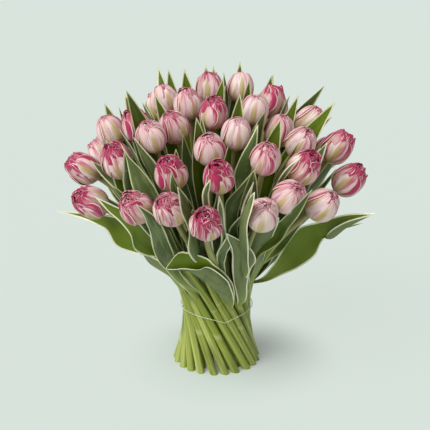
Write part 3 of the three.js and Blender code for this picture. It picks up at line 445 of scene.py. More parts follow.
# %% The placed leaves
# Each leaf's light value is painted light: near 1 for leaves lit in front, low for leaves in shade
# among the heads.
PLACED_LEAVES = {
    "right_fan": {
        "start": 40, "tip": (375.4, 213, -88), "painted_light": 1.0,
        "stations": [
            ((264, 282, -2), (259, 279, 4)),
            ((283, 274.7, -16), (270.5, 267.5, -12)),
            ((299, 267.5, -32), (281.5, 251, -28)),
            ((314.6, 256, -48), (290, 238, -44)),
            ((322, 242, -62), (304, 225.5, -58)),
            ((330, 231, -74), (324, 220, -64), (329, 239, -68)),
            ((345.5, 222, -82), (345, 214.3, -74), (346, 228, -77)),
        ],
    },
    "right_strap": {
        "start": 62, "tip": (312.2, 189.6, -160), "painted_light": 0.35,
        "stations": [
            ((253, 272, -60), (247.5, 266, -56)),
            ((261, 255, -78), (254, 247, -76)),
            ((270.5, 249.5, -90), (260, 238, -88)),
            ((280, 242.5, -102), (271, 227.5, -102)),
            ((288.5, 229, -122), (283, 218, -130)),
            ((300.5, 213, -144), (296.5, 205, -154)),
        ],
    },
    "pointed_leaf": {
        "start": 72, "tip": (247, 210.5, -125), "painted_light": 0.5,
        "stations": [
            ((236, 262, -82), (246, 262, -75)),
            ((228, 243, -98), (240, 243, -94)),
            ((229, 229, -110), (238, 228, -107)),
            ((237, 219.5, -119), (242, 219, -117)),
        ],
    },
    "dark_leaf": {
        "start": 104, "tip": (251, 173.7, -136), "painted_light": 0.15,
        "stations": [
            ((226, 236, -96), (238, 236, -92)),
            ((225, 220, -106), (238, 218, -104)),
            ((226, 202, -118), (241, 203, -116)),
            ((238, 188, -128), (245.5, 190, -126)),
        ],
    },
    "light_leaf": {
        "start": 112, "tip": (253.6, 182, -140), "painted_light": 1.0,
        "stations": [
            ((240, 222, -112), (247, 222, -110)),
            ((242, 207, -124), (248.5, 207, -122)),
            ((247, 194, -134), (251, 195, -132)),
        ],
    },
    "tall_leaf": {
        "start": 165, "tip": (258, 124.5, -94), "painted_light": 0.4,
        "stations": [
            ((236, 192, -86), (251, 194, -88)),
            ((235, 170, -92), (252, 172, -93)),
            ((243, 152, -97), (254.5, 157, -98)),
            ((250, 139.5, -98), (257.5, 140, -98)),
        ],
    },
    "straight_leaf": {
        "start": 125, "tip": (301.7, 156, -125), "painted_light": 0.85,
        "stations": [
            ((267.5, 214, -79), (271.5, 215, -77)),
            ((273.5, 190.5, -106), (278.5, 189, -104)),
            ((286, 168.5, -122), (292, 169, -122)),
        ],
    },
    "nodding_leaf": {
        "start": 18, "tip": (226, 233, -126), "painted_light": 0.85,
        "stations": [
            ((237, 298, -60), (247, 297, -56)),
            ((233.7, 282, -72), (247.5, 284, -68)),
            ((232, 267, -88), (251.5, 268, -82)),
            ((232, 254, -102), (256, 259, -94)),
            ((230.5, 245.5, -112), (250.5, 248.2, -106)),
            ((227.5, 239.5, -120), (238, 239, -118)),
        ],
    },
    "small_leaf": {
        "start": 84, "tip": (226.5, 237, -118), "painted_light": 0.6,
        "stations": [
            ((219.5, 269, -83), (226, 274, -80)),
            ((217, 262, -96), (225, 262, -93)),
            ((217, 252.5, -108), (227.8, 252, -106)),
            ((221.5, 245, -114), (231, 244, -112)),
        ],
    },
    "narrow_leaf": {
        "start": 130, "tip": (219.2, 195.4, -146), "painted_light": 0.9,
        "stations": [
            ((221, 240, -112), (226, 240, -110)),
            ((219, 222, -126), (225, 222, -125)),
            ((217.3, 207, -138), (223.5, 207, -137)),
        ],
    },
    "upright_leaf": {
        "start": 145, "tip": (210.3, 179.5, -165), "painted_light": 0.9,
        "stations": [
            ((203, 226, -130), (211, 226, -128)),
            ((203, 208, -144), (210.5, 208, -142)),
            ((202, 194, -156), (209, 194, -154)),
            ((204.5, 186, -161), (210.5, 186, -160)),
        ],
    },
    "folded_leaf": {
        "start": 14, "tip": (165.7, 268.4, -112), "painted_light": 0.7,
        "stations": [
            ((234.5, 297, -62), (234, 300, -72), (227.5, 304, -64)),
            ((233, 284, -78), (231, 288, -88), (218, 294, -78)),
            ((224, 272, -93), (226, 279, -102), (208.8, 285, -90)),
            ((214.5, 265, -105), (208, 267, -110), (197, 276.5, -98)),
            ((204, 256.5, -108), (197, 269.5, -113), (187.5, 270, -104)),
            ((189, 252.5, -104), (184.8, 268.4, -112), (180, 269.2, -106)),
            ((176, 254.5, -106), (174, 269.3, -113), (171, 269.4, -110)),
        ],
    },
    "behind_leaf": {
        "start": 110, "tip": (192.5, 209, -120), "painted_light": 0.3,
        "stations": [
            ((196, 262, -92), (212, 267, -72)),
            ((187, 248, -100), (211, 252, -82)),
            ((184.8, 237, -104), (209, 238, -96)),
            ((187.5, 226, -112), (208, 224, -112)),
        ],
    },
    "between_leaf": {
        "start": 128, "tip": (171.2, 171.3, -149), "painted_light": 0.4,
        "stations": [
            ((184, 226, -96), (196, 226, -90)),
            ((177, 208, -114), (193, 207, -108)),
            ((171, 195, -133), (187, 197, -128)),
            ((169.5, 183, -145), (178, 184.5, -141)),
        ],
    },
    "left_strap": {
        "start": 44, "tip": (136, 204, -162), "painted_light": 0.5,
        "stations": [
            ((180, 284, -64), (190, 284, -62)),
            ((164, 267.5, -82), (177, 266, -80)),
            ((155, 256, -96), (174, 254, -96)),
            ((151.5, 241.5, -114), (169, 241.4, -112)),
            ((148.5, 229, -130), (164, 229, -128)),
            ((143, 215.5, -150), (154, 215, -148)),
        ],
    },
    "left_tall": {
        "start": 112, "tip": (120.7, 143.4, -96), "painted_light": 0.3,
        "stations": [
            ((150, 222, -92), (168, 224, -92)),
            ((139, 203, -98), (163, 205, -100)),
            ((133, 189, -100), (156, 189.5, -102)),
            ((128, 168.5, -99), (142, 170, -101)),
            ((125.3, 155.2, -98), (129.5, 157, -100)),
        ],
    },
    "left_fan": {
        "start": 52, "tip": (94.7, 196.5, -108), "painted_light": 0.95,
        "stations": [
            ((178, 262, -60), (176, 272, -58)),
            ((160, 247, -72), (158, 258, -70)),
            ((151, 236, -86), (145, 255.8, -80)),
            ((144, 229, -96), (134, 249, -88)),
            ((137, 222, -102), (130.5, 236, -96)),
            ((127, 212, -105), (121, 223.5, -102)),
            ((112, 204.5, -107), (108.5, 212, -105)),
        ],
    },
    "left_low_fan": {
        "start": 34, "tip": (56.5, 211.4, -40), "painted_light": 0.95,
        "stations": [
            ((172, 262, -48), (170, 269, -56), (167, 274.5, -46)),
            ((158, 249, -54), (155, 258, -62), (150, 263.5, -50)),
            ((142, 238, -60), (133, 252.7, -58)),
            ((133, 229, -62), (116.2, 246.2, -58)),
            ((122, 219.5, -60), (106.2, 230.6, -56)),
            ((109, 215.5, -54), (96.5, 224.8, -50)),
            ((85, 213, -46), (82.5, 218.7, -44)),
        ],
    },
}

# %% Ranges that the other leaves are drawn from
MORE_LEAVES = {
    "front_left": {"bearing": -32, "past": -40, "width": 38},
    "beside_right": {"bearing": 96, "past": 26, "width": 40},
    "beside_left": {"bearing": -92, "past": 30, "width": 40},
}
RISING = {"start": (35, 60), "width": (36, 45), "spread": 8, "fold": 32}
OUTER = {"start": (20, 36), "past": (0, 30), "width": (36, 44), "bearing": (15, 50),
         "spread": (20, 32)}
INWARD = {"bearing": (0, 35), "past": (-5, 20)}
SIDEWAYS = {"bearing": (80, 120), "past": (-25, 5)}
BEHIND_HEAD = {"turn": (-35, 35), "past": (8, 36), "centre_past": (4, 16)}
BEFORE_HEAD = {"turn": (40, 75), "past": (-26, 8)}

# %% The rules for all other leaves
HEAD_ROOM = 2.2
HEAD_ROOM_FROM = -24
HEAD_ROOM_FULL = 6
HEAD_ROOM_PAST = 12
LEAF_STATIONS = [0, 0.1, 0.4, 0.725, 1]
FOLD = 17
FRONT_FOLD = 24
HEAD_FOLD = 14
LEAF_WALK = 40
LEAST_HALF_WIDTH = 1.1
CLASP_NEAR = 0.4
CLASP_FAR = 1.4
GAP_TURNS = [0, 12, -12, 24, -24, 36, -36, 48, -48]
GAP_BESIDE = (0, 0.35, 0.7)
GAP_REACH = 12
GAP_TURN_COST = 0.03


def draw(limits, index, kind):
    return lerp(limits[0], limits[1], vary(index, kind))


def rising_leaf(flower, kind, bearing, past):
    """A leaf that rises beside its head, with its tip so far past the top of the bloom."""
    i = flower.index
    start = draw(RISING["start"], i, kind)
    length = flower.stem_length + flower.size["length"] + past - start
    width = draw(RISING["width"], i, kind + 1)
    return {**RISING, "start": start, "length": length, "width": width, "bearing": bearing}


def rim_leaves(flower):
    i = flower.index
    hand = 1 if i % 2 else -1
    inward = 180 - hand * draw(INWARD["bearing"], i, 23)
    inner = rising_leaf(flower, 21, inward, draw(INWARD["past"], i, 24))
    if flower.placed is not None:
        leaves = []
        for n, name in enumerate(flower.more):
            more = MORE_LEAVES[name]
            leaf = rising_leaf(flower, 44 + n, more["bearing"], more["past"])
            own = {"width": more["width"], "fold": FRONT_FOLD, "allowed": in_front_of_stems}
            leaves.append({**leaf, **own})
        return leaves if flower.fewer else leaves + [inner]
    start = draw(OUTER["start"], i, 11)
    outer = {"start": start, "length": flower.stem_length + draw(OUTER["past"], i, 12) - start,
             "bearing": hand * draw(OUTER["bearing"], i, 14), "width": draw(OUTER["width"], i, 13),
             "spread": draw(OUTER["spread"], i, 15)}
    if i % 3 == 0:
        return [outer, inner]
    beside = -hand * draw(SIDEWAYS["bearing"], i, 28)
    return [outer, inner, rising_leaf(flower, 26, beside, draw(SIDEWAYS["past"], i, 29))]


def inner_leaves(flower):
    """An inner tulip has one leaf behind its head and one before it, to one side."""
    if flower.fewer:
        return []
    i = flower.index
    hand = 1 if i % 2 else -1
    past = BEHIND_HEAD["centre_past" if flower.ring_radius == CENTRE_RING else "past"]
    around = math.degrees(flower.head_angle)
    behind = 90 + draw(BEHIND_HEAD["turn"], i, 31) - around
    before = -90 + hand * draw(BEFORE_HEAD["turn"], i, 38) - around
    return [rising_leaf(flower, 32, behind, draw(past, i, 36)),
            rising_leaf(flower, 34, before, draw(BEFORE_HEAD["past"], i, 37))]


def turn_pair(first, second, degrees):
    """Two directions at right angles, turned by an angle from the first towards the second."""
    c = math.cos(math.radians(degrees))
    s = math.sin(math.radians(degrees))
    return first * c + second * s, second * c - first * s


def settle_leaf(flower, leaf):
    """A leaf turns to the widest gap between the heads near its bearing."""
    if "allowed" in leaf:
        return leaf
    wanted = flower.size["radius"] + GAP_REACH
    beside = [flower.stem_length + t * flower.size["length"] for t in GAP_BESIDE]

    def score(turn):
        reaches = []
        for length in beside:
            point, _, outward, side = along(flower, length)
            out, _ = turn_pair(outward, side, leaf["bearing"] + turn)
            reaches.append(reach_within(flower, point, out, wanted, near_own))
        return min(reaches) - abs(turn) * GAP_TURN_COST

    return {**leaf, "bearing": leaf["bearing"] + max(GAP_TURNS, key=score)}


# %% [markdown]
# ## The line of a leaf
# A leaf that follows the rule is worked out at a few stations, as in the construction model:
# where its middle is, which way its face looks, and how far each side of the blade may reach.
# Between the stations every value follows a smooth curve, so the finished blade bends like one
# that grew.

# %% Stations of a leaf
def head_room(flower, length):
    """The room that a head takes up round its track, for the leaves that pass it."""
    past = length - flower.stem_length
    bloom = flower.size["length"]
    if past > bloom + HEAD_ROOM_PAST:
        return 0.0
    swell = smooth(HEAD_ROOM_FROM, HEAD_ROOM_FULL, past)
    narrow = 1 - 0.7 * smooth(bloom * 0.8, bloom + HEAD_ROOM_PAST, past)
    return float((flower.size["radius"] + HEAD_ROOM) * swell * narrow)


def leaf_path(leaf):
    step = leaf["length"] / LEAF_WALK
    reached = leaf["start"]
    away = 0.0
    path = []
    for i in range(LEAF_WALK + 1):
        u = i / LEAF_WALK
        path.append((u, reached, away))
        slope = math.radians(leaf["spread"] * u)
        reached += math.cos(slope) * step
        away += math.sin(slope) * step
    return [path[math.floor(u * LEAF_WALK + 0.5)] for u in LEAF_STATIONS]


def leaf_taper(u):
    """The width of a blade along its length, as a share of its greatest width."""
    return (0.18 + 0.82 * smooth(0, 0.35, u)) * np.maximum(1 - u**3.4, 0) ** 0.85


def leaf_stations(flower, leaf):
    allowed = leaf.get("allowed", near_own)
    fold = leaf.get("fold", FOLD)
    stations = []
    for u, reached, away in leaf_path(leaf):
        point, _, outward, side = along(flower, reached)
        face, sideways = turn_pair(outward, side, leaf["bearing"])
        clasp = lerp(CLASP_NEAR, CLASP_FAR, smooth(0, 0.1, u)) * STEM_RADIUS
        wanted = max(clasp + away, head_room(flower, reached))
        mid = point + face * reach_within(flower, point, face, wanted, allowed)
        folded = lerp(fold, min(fold, HEAD_FOLD), smooth(0.35, 0.65, u))
        half = leaf["width"] / 2 * float(leaf_taper(u))
        station = {"u": u, "mid": mid, "face": face, "across": sideways, "fold": folded}
        for hand in (-1, 1):
            direction, _ = turn_pair(sideways * hand, face, -folded)
            reach = max(reach_within(flower, mid, direction, half, allowed), LEAST_HALF_WIDTH)
            station[hand] = mid + direction * reach
            station["share", hand] = reach / half if half > LEAST_HALF_WIDTH else None
        stations.append(station)
    for hand in (-1, 1):
        if stations[-1]["share", hand] is None:
            stations[-1]["share", hand] = stations[-2]["share", hand]
        if stations[0]["share", hand] is None:
            stations[0]["share", hand] = 1.0
    return stations


# %% Keep a leaf out of its own bloom
BLOOM_ROOM = 1.2
SHORTER_BY = 5
CUP_DEPTH = 0.94
CUP_POWER = 2.2


def cup_radius(t, flower):
    """The outline of a bloom, from its base at 0 to its top at 1."""
    below = np.maximum(BLOOM_WIDEST - t, 0) / BLOOM_WIDEST
    low = np.sqrt(np.maximum(1 - CUP_DEPTH * below ** CUP_POWER, 0))
    closing = 0.75 - 0.35 * flower.opened
    high = 1 - closing * (np.maximum(t - BLOOM_WIDEST, 0) / (1 - BLOOM_WIDEST)) ** 2.3
    return flower.size["radius"] * np.where(t < BLOOM_WIDEST, low, high)


def meets_bloom(flower, stations):
    for before, after in zip(stations, stations[1:]):
        for key in ("mid", -1, 1):
            for part in (0.25, 0.5, 0.75, 1):
                away = lerp(before[key], after[key], part) - flower.base
                t = away @ flower.axis / flower.size["length"]
                if 0 <= t <= 1:
                    aside = np.linalg.norm(away - flower.axis * t * flower.size["length"])
                    if aside < cup_radius(t, flower) + BLOOM_ROOM:
                        return True
    return False


def clear_stations(flower, leaf):
    """A leaf that would run into its own bloom is shorter."""
    stations = leaf_stations(flower, leaf)
    while meets_bloom(flower, stations):
        leaf = {**leaf, "length": leaf["length"] - SHORTER_BY}
        stations = leaf_stations(flower, leaf)
    return stations, leaf


for flower in flowers:
    rule = rim_leaves if flower.ring_radius == RIM_RING else inner_leaves
    flower.leaves = [clear_stations(flower, settle_leaf(flower, leaf)) for leaf in rule(flower)]
print("leaves:", sum(len(flower.leaves) for flower in flowers))

# %% [markdown]
# ## Meshes from grids
# Petals and leaves are thin sheets. Each one is worked out as a grid of points on its middle,
# then given an outer and an inner skin and a closed rim, so that it is a solid body. Its grid
# places are kept on the mesh as attributes, and the materials read their pattern from them.

# %% Turn a grid into a thin closed sheet
def grid_normals(grid):
    along_rows = np.gradient(grid, axis=0)
    along_columns = np.gradient(grid, axis=1)
    return unit(np.cross(along_columns, along_rows))


def quads(*corners):
    """Four-sided faces from four arrays of point numbers."""
    return np.stack(corners, -1).reshape(-1, 4)


def sheet(grid, thickness, attributes):
    """Outer skin, inner skin and rim of a sheet. Attributes are given for every grid point."""
    rows, columns = grid.shape[:2]
    count = rows * columns
    half = grid_normals(grid) * (thickness / 2)[..., None]
    points = np.concatenate([(grid + half).reshape(-1, 3), (grid - half).reshape(-1, 3)])
    index = np.arange(count).reshape(rows, columns)
    under = index + count
    a, b, c, d = index[:-1, :-1], index[:-1, 1:], index[1:, 1:], index[1:, :-1]
    faces = [quads(a, b, c, d), quads(a, d, c, b) + count]
    for outer, inner in ((index[:, 0], under[:, 0]), (under[:, -1], index[:, -1]),
                         (under[0], index[0]), (index[-1], under[-1])):
        faces.append(quads(outer[:-1], outer[1:], inner[1:], inner[:-1]))
    doubled = {name: np.concatenate([v.reshape(-1, 3)] * 2) for name, v in attributes.items()}
    return {"points": points, "faces": np.concatenate(faces), "attributes": doubled, "finish": 0}


# %% Turn parts into one object
SHARP_ANGLE = math.radians(55)


def make_piece(name, parts, finishes):
    """One mesh object from parts of points, four-sided faces, attributes and a finish number."""
    offsets = np.cumsum([0] + [len(part["points"]) for part in parts])
    points = (np.concatenate([part["points"] for part in parts]) + CENTRE_SHIFT) * MM
    faces = np.concatenate([part["faces"] + offset for part, offset in zip(parts, offsets)])
    numbers = np.concatenate([np.full(len(part["faces"]), part["finish"]) for part in parts])
    mesh = bpy.data.meshes.new(name)
    mesh.vertices.add(len(points))
    mesh.vertices.foreach_set("co", points.ravel())
    mesh.loops.add(faces.size)
    mesh.loops.foreach_set("vertex_index", faces.ravel())
    mesh.polygons.add(len(faces))
    mesh.polygons.foreach_set("loop_start", np.arange(0, faces.size, 4))
    mesh.polygons.foreach_set("material_index", numbers)
    for key in sorted({key for part in parts for key in part["attributes"]}):
        values = [part["attributes"].get(key, np.zeros(part["points"].shape)) for part in parts]
        layer = mesh.attributes.new(key, "FLOAT_VECTOR", "POINT")
        layer.data.foreach_set("vector", np.concatenate(values).ravel())
    mesh.update(calc_edges=True)
    mesh.validate()
    mesh.shade_smooth()
    mesh.set_sharp_from_angle(angle=SHARP_ANGLE)
    for finish in finishes:
        mesh.materials.append(finish)
    piece = new_object(name, mesh)
    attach(piece, "root")
    return piece


# %% [markdown]
# ## Shader maths as Python
# The finishes are patterns made from numbers, such as how far a point is from the edge of a
# petal. The class below wraps a socket, so that such a pattern can be written as plain
# arithmetic. Every other node comes from one method.

# %% A socket with arithmetic
class Wire:
    """An output socket of a finish, with arithmetic that adds Math nodes."""

    def __init__(self, tree, socket):
        self.tree = tree
        self.socket = socket

    def math(self, operation, *others):
        values = {i: value for i, value in enumerate((self, *others))}
        return add_node(self.tree, "ShaderNodeMath", {"operation": operation}, values)

    def __add__(self, other):
        return self.math("ADD", other)

    def __sub__(self, other):
        return self.math("SUBTRACT", other)

    def __mul__(self, other):
        return self.math("MULTIPLY", other)

    def __truediv__(self, other):
        return self.math("DIVIDE", other)

    def __pow__(self, other):
        return self.math("POWER", other)

    def __neg__(self):
        return self * -1.0

    def __abs__(self):
        return self.math("ABSOLUTE")

    def __rsub__(self, other):
        return (-self) + other

    __radd__ = __add__

    def clamped(self):
        return self.math("MAXIMUM", 0.0).math("MINIMUM", 1.0)


def add_node(tree, kind, settings=None, values=None, output=0):
    """Any node: its type, its settings, then the values or wires of its sockets."""
    node = tree.nodes.new(kind)
    for name, value in (settings or {}).items():
        setattr(node, name, value)
    for key, value in (values or {}).items():
        if isinstance(value, Wire):
            tree.links.new(value.socket, node.inputs[key])
        else:
            node.inputs[key].default_value = value
    return Wire(tree, node.outputs[output])


# %% Helpers for patterns and colours
ATTRIBUTE_VECTOR = 1
OBJECT_COORDINATES = 3


class Finish:
    """A material in the making: its tree, its patterns and its principled shader."""

    def __init__(self, name, constants):
        self.material = bpy.data.materials.new(name)
        self.material.use_nodes = True
        self.tree = self.material.node_tree
        self.shader = next(n for n in self.tree.nodes if n.type == "BSDF_PRINCIPLED")
        for key, value in constants.items():
            self.shader.inputs[key].default_value = value

    def attribute(self, name):
        """The three numbers of a mesh attribute."""
        settings = {"attribute_name": name}
        return self.split(add_node(self.tree, "ShaderNodeAttribute", settings,
                                   output=ATTRIBUTE_VECTOR))

    def split(self, whole):
        parts = add_node(self.tree, "ShaderNodeSeparateXYZ", values={0: whole})
        return [Wire(self.tree, output) for output in parts.socket.node.outputs]

    def point(self, x, y, z):
        return add_node(self.tree, "ShaderNodeCombineXYZ", values={0: x, 1: y, 2: z})

    def noise(self, place, scale=1.0, detail=2.0, roughness=0.5):
        values = {"Vector": place, "Scale": scale, "Detail": detail, "Roughness": roughness}
        return add_node(self.tree, "ShaderNodeTexNoise", values=values)

    def rise(self, low, high, x):
        """A soft step from 0 at low to 1 at high, either way round."""
        settings = {"interpolation_type": "SMOOTHSTEP"}
        values = {"Value": x, "From Min": low, "From Max": high, "To Min": 0.0, "To Max": 1.0}
        if not isinstance(low, Wire) and not isinstance(high, Wire) and low > high:
            values.update({"From Min": high, "From Max": low, "To Min": 1.0, "To Max": 0.0})
        return add_node(self.tree, "ShaderNodeMapRange", settings, values)

    def blend(self, first, second, share):
        """A colour between two others."""
        node = self.tree.nodes.new("ShaderNodeMix")
        node.data_type = "RGBA"
        named = {socket.identifier: socket for socket in node.inputs}
        for key, value in (("Factor_Float", share), ("A_Color", first), ("B_Color", second)):
            if isinstance(value, Wire):
                self.tree.links.new(value.socket, named[key])
            else:
                named[key].default_value = value if key == "Factor_Float" else (*value, 1.0)
        result = next(s for s in node.outputs if s.identifier == "Result_Color")
        return Wire(self.tree, result)

    def feed(self, socket_name, wire):
        self.tree.links.new(wire.socket, self.shader.inputs[socket_name])

    def bump(self, height, strength, distance):
        values = {"Height": height, "Strength": strength, "Distance": distance}
        self.feed("Normal", add_node(self.tree, "ShaderNodeBump", values=values))


# %% [markdown]
# ## Petals
# A double tulip has three outer petals, three more between them, and a ruffled heart of smaller
# ones. Each petal is cream, with an olive flame up the middle, feathered streaks of rose, and
# crimson near the margins inside a fine pale rim. The redder the head, the wider the crimson.
# The pattern is drawn in the petal's own two directions, so it fans out and closes with it. A
# faint crimson glow stands for the light that thin petals let through into the folds.

# %% The petal finish
CREAM = (0.79, 0.64, 0.58)
BLUSH = (0.62, 0.32, 0.37)
ROSE = (0.48, 0.095, 0.20)
CRIMSON = (0.37, 0.019, 0.080)
DEEP_CRIMSON = (0.24, 0.008, 0.042)
OLIVE = (0.40, 0.33, 0.09)
# Olive-green for the petal's base: partly its own green, partly painted shade at the foot of the
# bloom.
PETAL_GREEN_AND_SHADE = (0.32, 0.25, 0.06)
PALE_RIM = (0.88, 0.69, 0.67)


def petal_finish():
    finish = Finish("petal", {
        "Specular IOR Level": 0.35, "Sheen Weight": 0.10, "Sheen Roughness": 0.4,
        "Subsurface Weight": 0.25, "Subsurface Scale": 0.003,
        "Subsurface Radius": (1.0, 0.4, 0.35),
        "Emission Color": (*CRIMSON, 1.0), "Emission Strength": 0.05})
    v, s, whorl = finish.attribute("petal_place")
    seed, red, _ = finish.attribute("petal_tint")
    aside = abs(v)
    patch = finish.noise(finish.point(v * 1.7, s * 1.4, seed * 31.0), detail=2.0)
    streak = finish.noise(finish.point(v * 3.6, s * 0.8, seed * 17.0), detail=2.0, roughness=0.6)
    ray = finish.noise(finish.point(v * 4.0, s * 0.5, seed * 53.0), detail=1.0)
    vein = finish.noise(finish.point(v * 20.0, s * 1.6, seed * 23.0), detail=2.0)
    inner = finish.rise(0.2, 0.9, whorl)

    wash = finish.rise(0.35, 0.65, patch) * 0.50 + finish.rise(0.3, 1.0, aside) * 0.35
    colour = finish.blend(CREAM, BLUSH, (wash * (0.55 + red * 0.60)).clamped())
    line = finish.rise(0.53, 0.61, streak) * (0.35 + red * 0.50)
    line = line + finish.rise(0.52, 0.66, vein) * 0.30
    colour = finish.blend(colour, ROSE, line.clamped())

    edge = aside + (streak - 0.5) * 0.9 + (vein - 0.5) * 0.5 + (s - 0.5) * 0.24
    band = finish.rise(0.74 - red * 0.24, 0.94 - red * 0.16, edge) * (0.68 + red * 0.40)
    top = finish.rise(0.55, 1.0, s + (streak - 0.5) * 1.2) * (red * 0.95)
    heart = inner * (0.30 + red * 0.60)
    heart = heart * finish.rise(0.34, 0.52, patch + (vein - 0.5) * 0.4 + red * 0.13)
    crimson = (band + top + heart) * (0.88 + (vein - 0.5) * 2.4)
    depth = finish.rise(0.45, 0.62, patch) * (0.25 + inner * 0.15)
    deep = finish.blend(CRIMSON, DEEP_CRIMSON, depth)
    colour = finish.blend(colour, deep, crimson.clamped())

    width = 0.40 - s * 0.34
    flame = 1.0 - finish.rise(0.35, 1.0, (aside + (streak - 0.5) * 0.45) / width)
    rays = finish.rise(0.54, 0.62, ray) * finish.rise(0.72, 0.30, s)
    rays = rays * finish.rise(0.85, 0.55, aside)
    olive = (flame * finish.rise(0.95, 0.55, s) + rays * 0.7) * (1.0 - inner * 0.85)
    colour = finish.blend(colour, OLIVE, (olive * (0.55 + vein * 0.5)).clamped())
    # The base of each petal turns olive-green: partly the petal's own green, partly painted shade at
    # the foot of the bloom.
    base = finish.rise(0.34, 0.04, s + (streak - 0.5) * 0.5)
    colour = finish.blend(colour, PETAL_GREEN_AND_SHADE, base * 0.8)

    rim = finish.rise(0.915, 0.97, aside + inner * 0.03 + (vein - 0.5) * 0.06)
    colour = finish.blend(colour, PALE_RIM, rim * (0.9 - inner * 0.15))
    finish.feed("Base Color", colour)
    finish.feed("Roughness", 0.42 + vein * 0.14)
    finish.bump(vein * 0.7 + streak * 0.6, 0.5, 0.0006)
    return finish.material


PETAL = petal_finish()

# %% [markdown]
# ## The shape of a petal
# A petal rises from the base like the side of a cup and then closes over the top like a piece of
# a dome. How far it closes makes the difference between a bud and an open head, and between an
# outer petal and one of the heart. A petal keeps much of its width while the bloom closes, so
# the petals lap over each other near the top. Ripples make them uneven, most of all near the
# upper edge.

# %% Where a petal's points are
PETAL_THICKNESS = 0.7
OUTER_ROWS = 19
OUTER_COLUMNS = 17
HEART_ROWS = 15
HEART_COLUMNS = 11
CUP_SHARE = 0.42
WIDEST_REACH_ROUND = 2.0
LEAST_REACH = 0.6
LEAST_CLOSING = 0.3
RIPPLES = 3


def crowded(count, power):
    """Places from 0 to 1 that lie closer together towards 1."""
    return 1 - (1 - np.linspace(0, 1, count)) ** power


def petal_outline(s, blunt):
    """Half the width of a petal along its length, as a share of its greatest."""
    upper = np.clip((s - 0.5) / 0.5, 0, 1)
    return (0.34 + 0.66 * smooth(0, 0.48, s)) * np.maximum(1 - upper**(2.0 + blunt), 0.0004) ** 0.62


def petal_line(s, shape):
    """How far out and how high a petal runs, as shares of the bloom's radius and length."""
    low = np.clip(s / CUP_SHARE, 0, 1)
    out = np.sqrt(1 - CUP_DEPTH * (1 - low) ** CUP_POWER)
    over = math.radians(shape["over"])
    turn = np.clip((s - CUP_SHARE) / (1 - CUP_SHARE), 0, 1) * over
    out = out * (1 - shape["close"] * (1 - np.cos(turn)))
    rise = np.sin(turn) / math.sin(over)
    return out * shape["inset"], BLOOM_WIDEST * low + (shape["length"] - BLOOM_WIDEST) * rise


def ripple(v, s, index, kind, waves):
    """An uneven ripple over a petal, from -1 to 1, always the same for the same petal."""
    total = 0.0
    for n in range(RIPPLES):
        phase = 6.3 * vary(index, kind + 7 * n)
        total = total + np.sin(waves * (0.6 + 0.5 * n) * v + (2 + 4 * n) * s + phase)
    return total / RIPPLES


def bloom_frame(flower):
    across = unit(np.cross(UP, flower.axis))
    over = np.cross(flower.axis, across)
    return across, over


def first_petal_angle(flower):
    """Heads that show turn a petal to the viewer by a given angle, the others by chance."""
    if flower.petal is None:
        return vary(flower.index, 2) * 2 * math.pi
    across, over = bloom_frame(flower)
    to_viewer = -SIGHT_AHEAD
    return math.atan2(to_viewer @ over, to_viewer @ across) + math.radians(flower.petal)


def petal_grid(flower, middle, kind, rows, columns, shape):
    """The middle surface of one petal, standing at an angle round its bloom."""
    s = crowded(rows, 1.25)[:, None]
    v = np.sin(np.linspace(-math.pi / 2, math.pi / 2, columns))[None, :]
    radius = flower.size["radius"]
    out, up = petal_line(s, shape)
    cup = radius * (out + shape["flare"] * s**3) + shape["loose"] * s**2
    closing = np.maximum(out / shape["inset"], LEAST_CLOSING) ** -shape["broad"]
    half = shape["span"] * petal_outline(s, shape["blunt"]) * closing
    half = np.minimum(half, WIDEST_REACH_ROUND)
    angle = middle + v * half + shape["twist"] * s
    lap = shape["lap"] * v * smooth(0.05, 0.4, s)
    tuck = -shape["tuck"] * v**4 * smooth(0.1, 0.6, s)
    keel = shape["keel"] * np.exp(-((v / 0.16) ** 2)) * smooth(0.0, 0.3, s)
    keel = keel * (1 - smooth(0.8, 1, s))
    uneven = ripple(v, s, flower.index, kind, shape["waves"])
    ruffle = shape["ruffle"] * smooth(0.25, 1.0, s) * uneven * (0.35 + 0.65 * np.abs(v))
    uneven = ripple(v, s, flower.index, kind + 3, shape["waves"] * 1.4)
    crest = shape["crest"] * smooth(0.55, 1.0, s) * uneven
    reach = np.maximum(cup + lap + tuck + keel + ruffle, LEAST_REACH)
    height = up * flower.size["length"] + crest - shape["droop"] * v**2 * smooth(0.2, 0.8, s)
    across, over = bloom_frame(flower)
    ones = np.ones_like(reach)
    grid = flower.base + flower.axis * (height * ones)[..., None]
    grid = grid + across * (reach * np.cos(angle))[..., None]
    grid = grid + over * (reach * np.sin(angle))[..., None]
    return grid, s * ones, v * ones


def petal_part(flower, middle, kind, rows, columns, shape, whorl):
    grid, s, v = petal_grid(flower, middle, kind, rows, columns, shape)
    edge = np.maximum(1 - np.abs(v), 0)
    thickness = PETAL_THICKNESS * (0.35 + 0.65 * smooth(0, 0.3, edge))
    thickness = thickness * (1 - 0.5 * smooth(0.8, 1, s))
    seed = np.full_like(s, vary(flower.index, kind))
    place = np.stack([v, s, np.full_like(s, whorl)], -1)
    tint = np.stack([seed, np.full_like(s, flower.red), np.zeros_like(s)], -1)
    return sheet(grid, thickness, {"petal_place": place, "petal_tint": tint})


# %% The three outer petals and the three between them
OUTER_PETALS = 3
OUTER_SHAPE = {"inset": 1.0, "blunt": 0.6, "twist": 0.0, "lap": 1.3, "tuck": 0.2, "keel": 0.6,
               "waves": 5.0, "droop": 0.6, "broad": 0.55}
SECOND_SHAPE = {**OUTER_SHAPE, "inset": 0.94, "lap": 0.9, "keel": 0.3, "waves": 6.0, "span": 1.1}


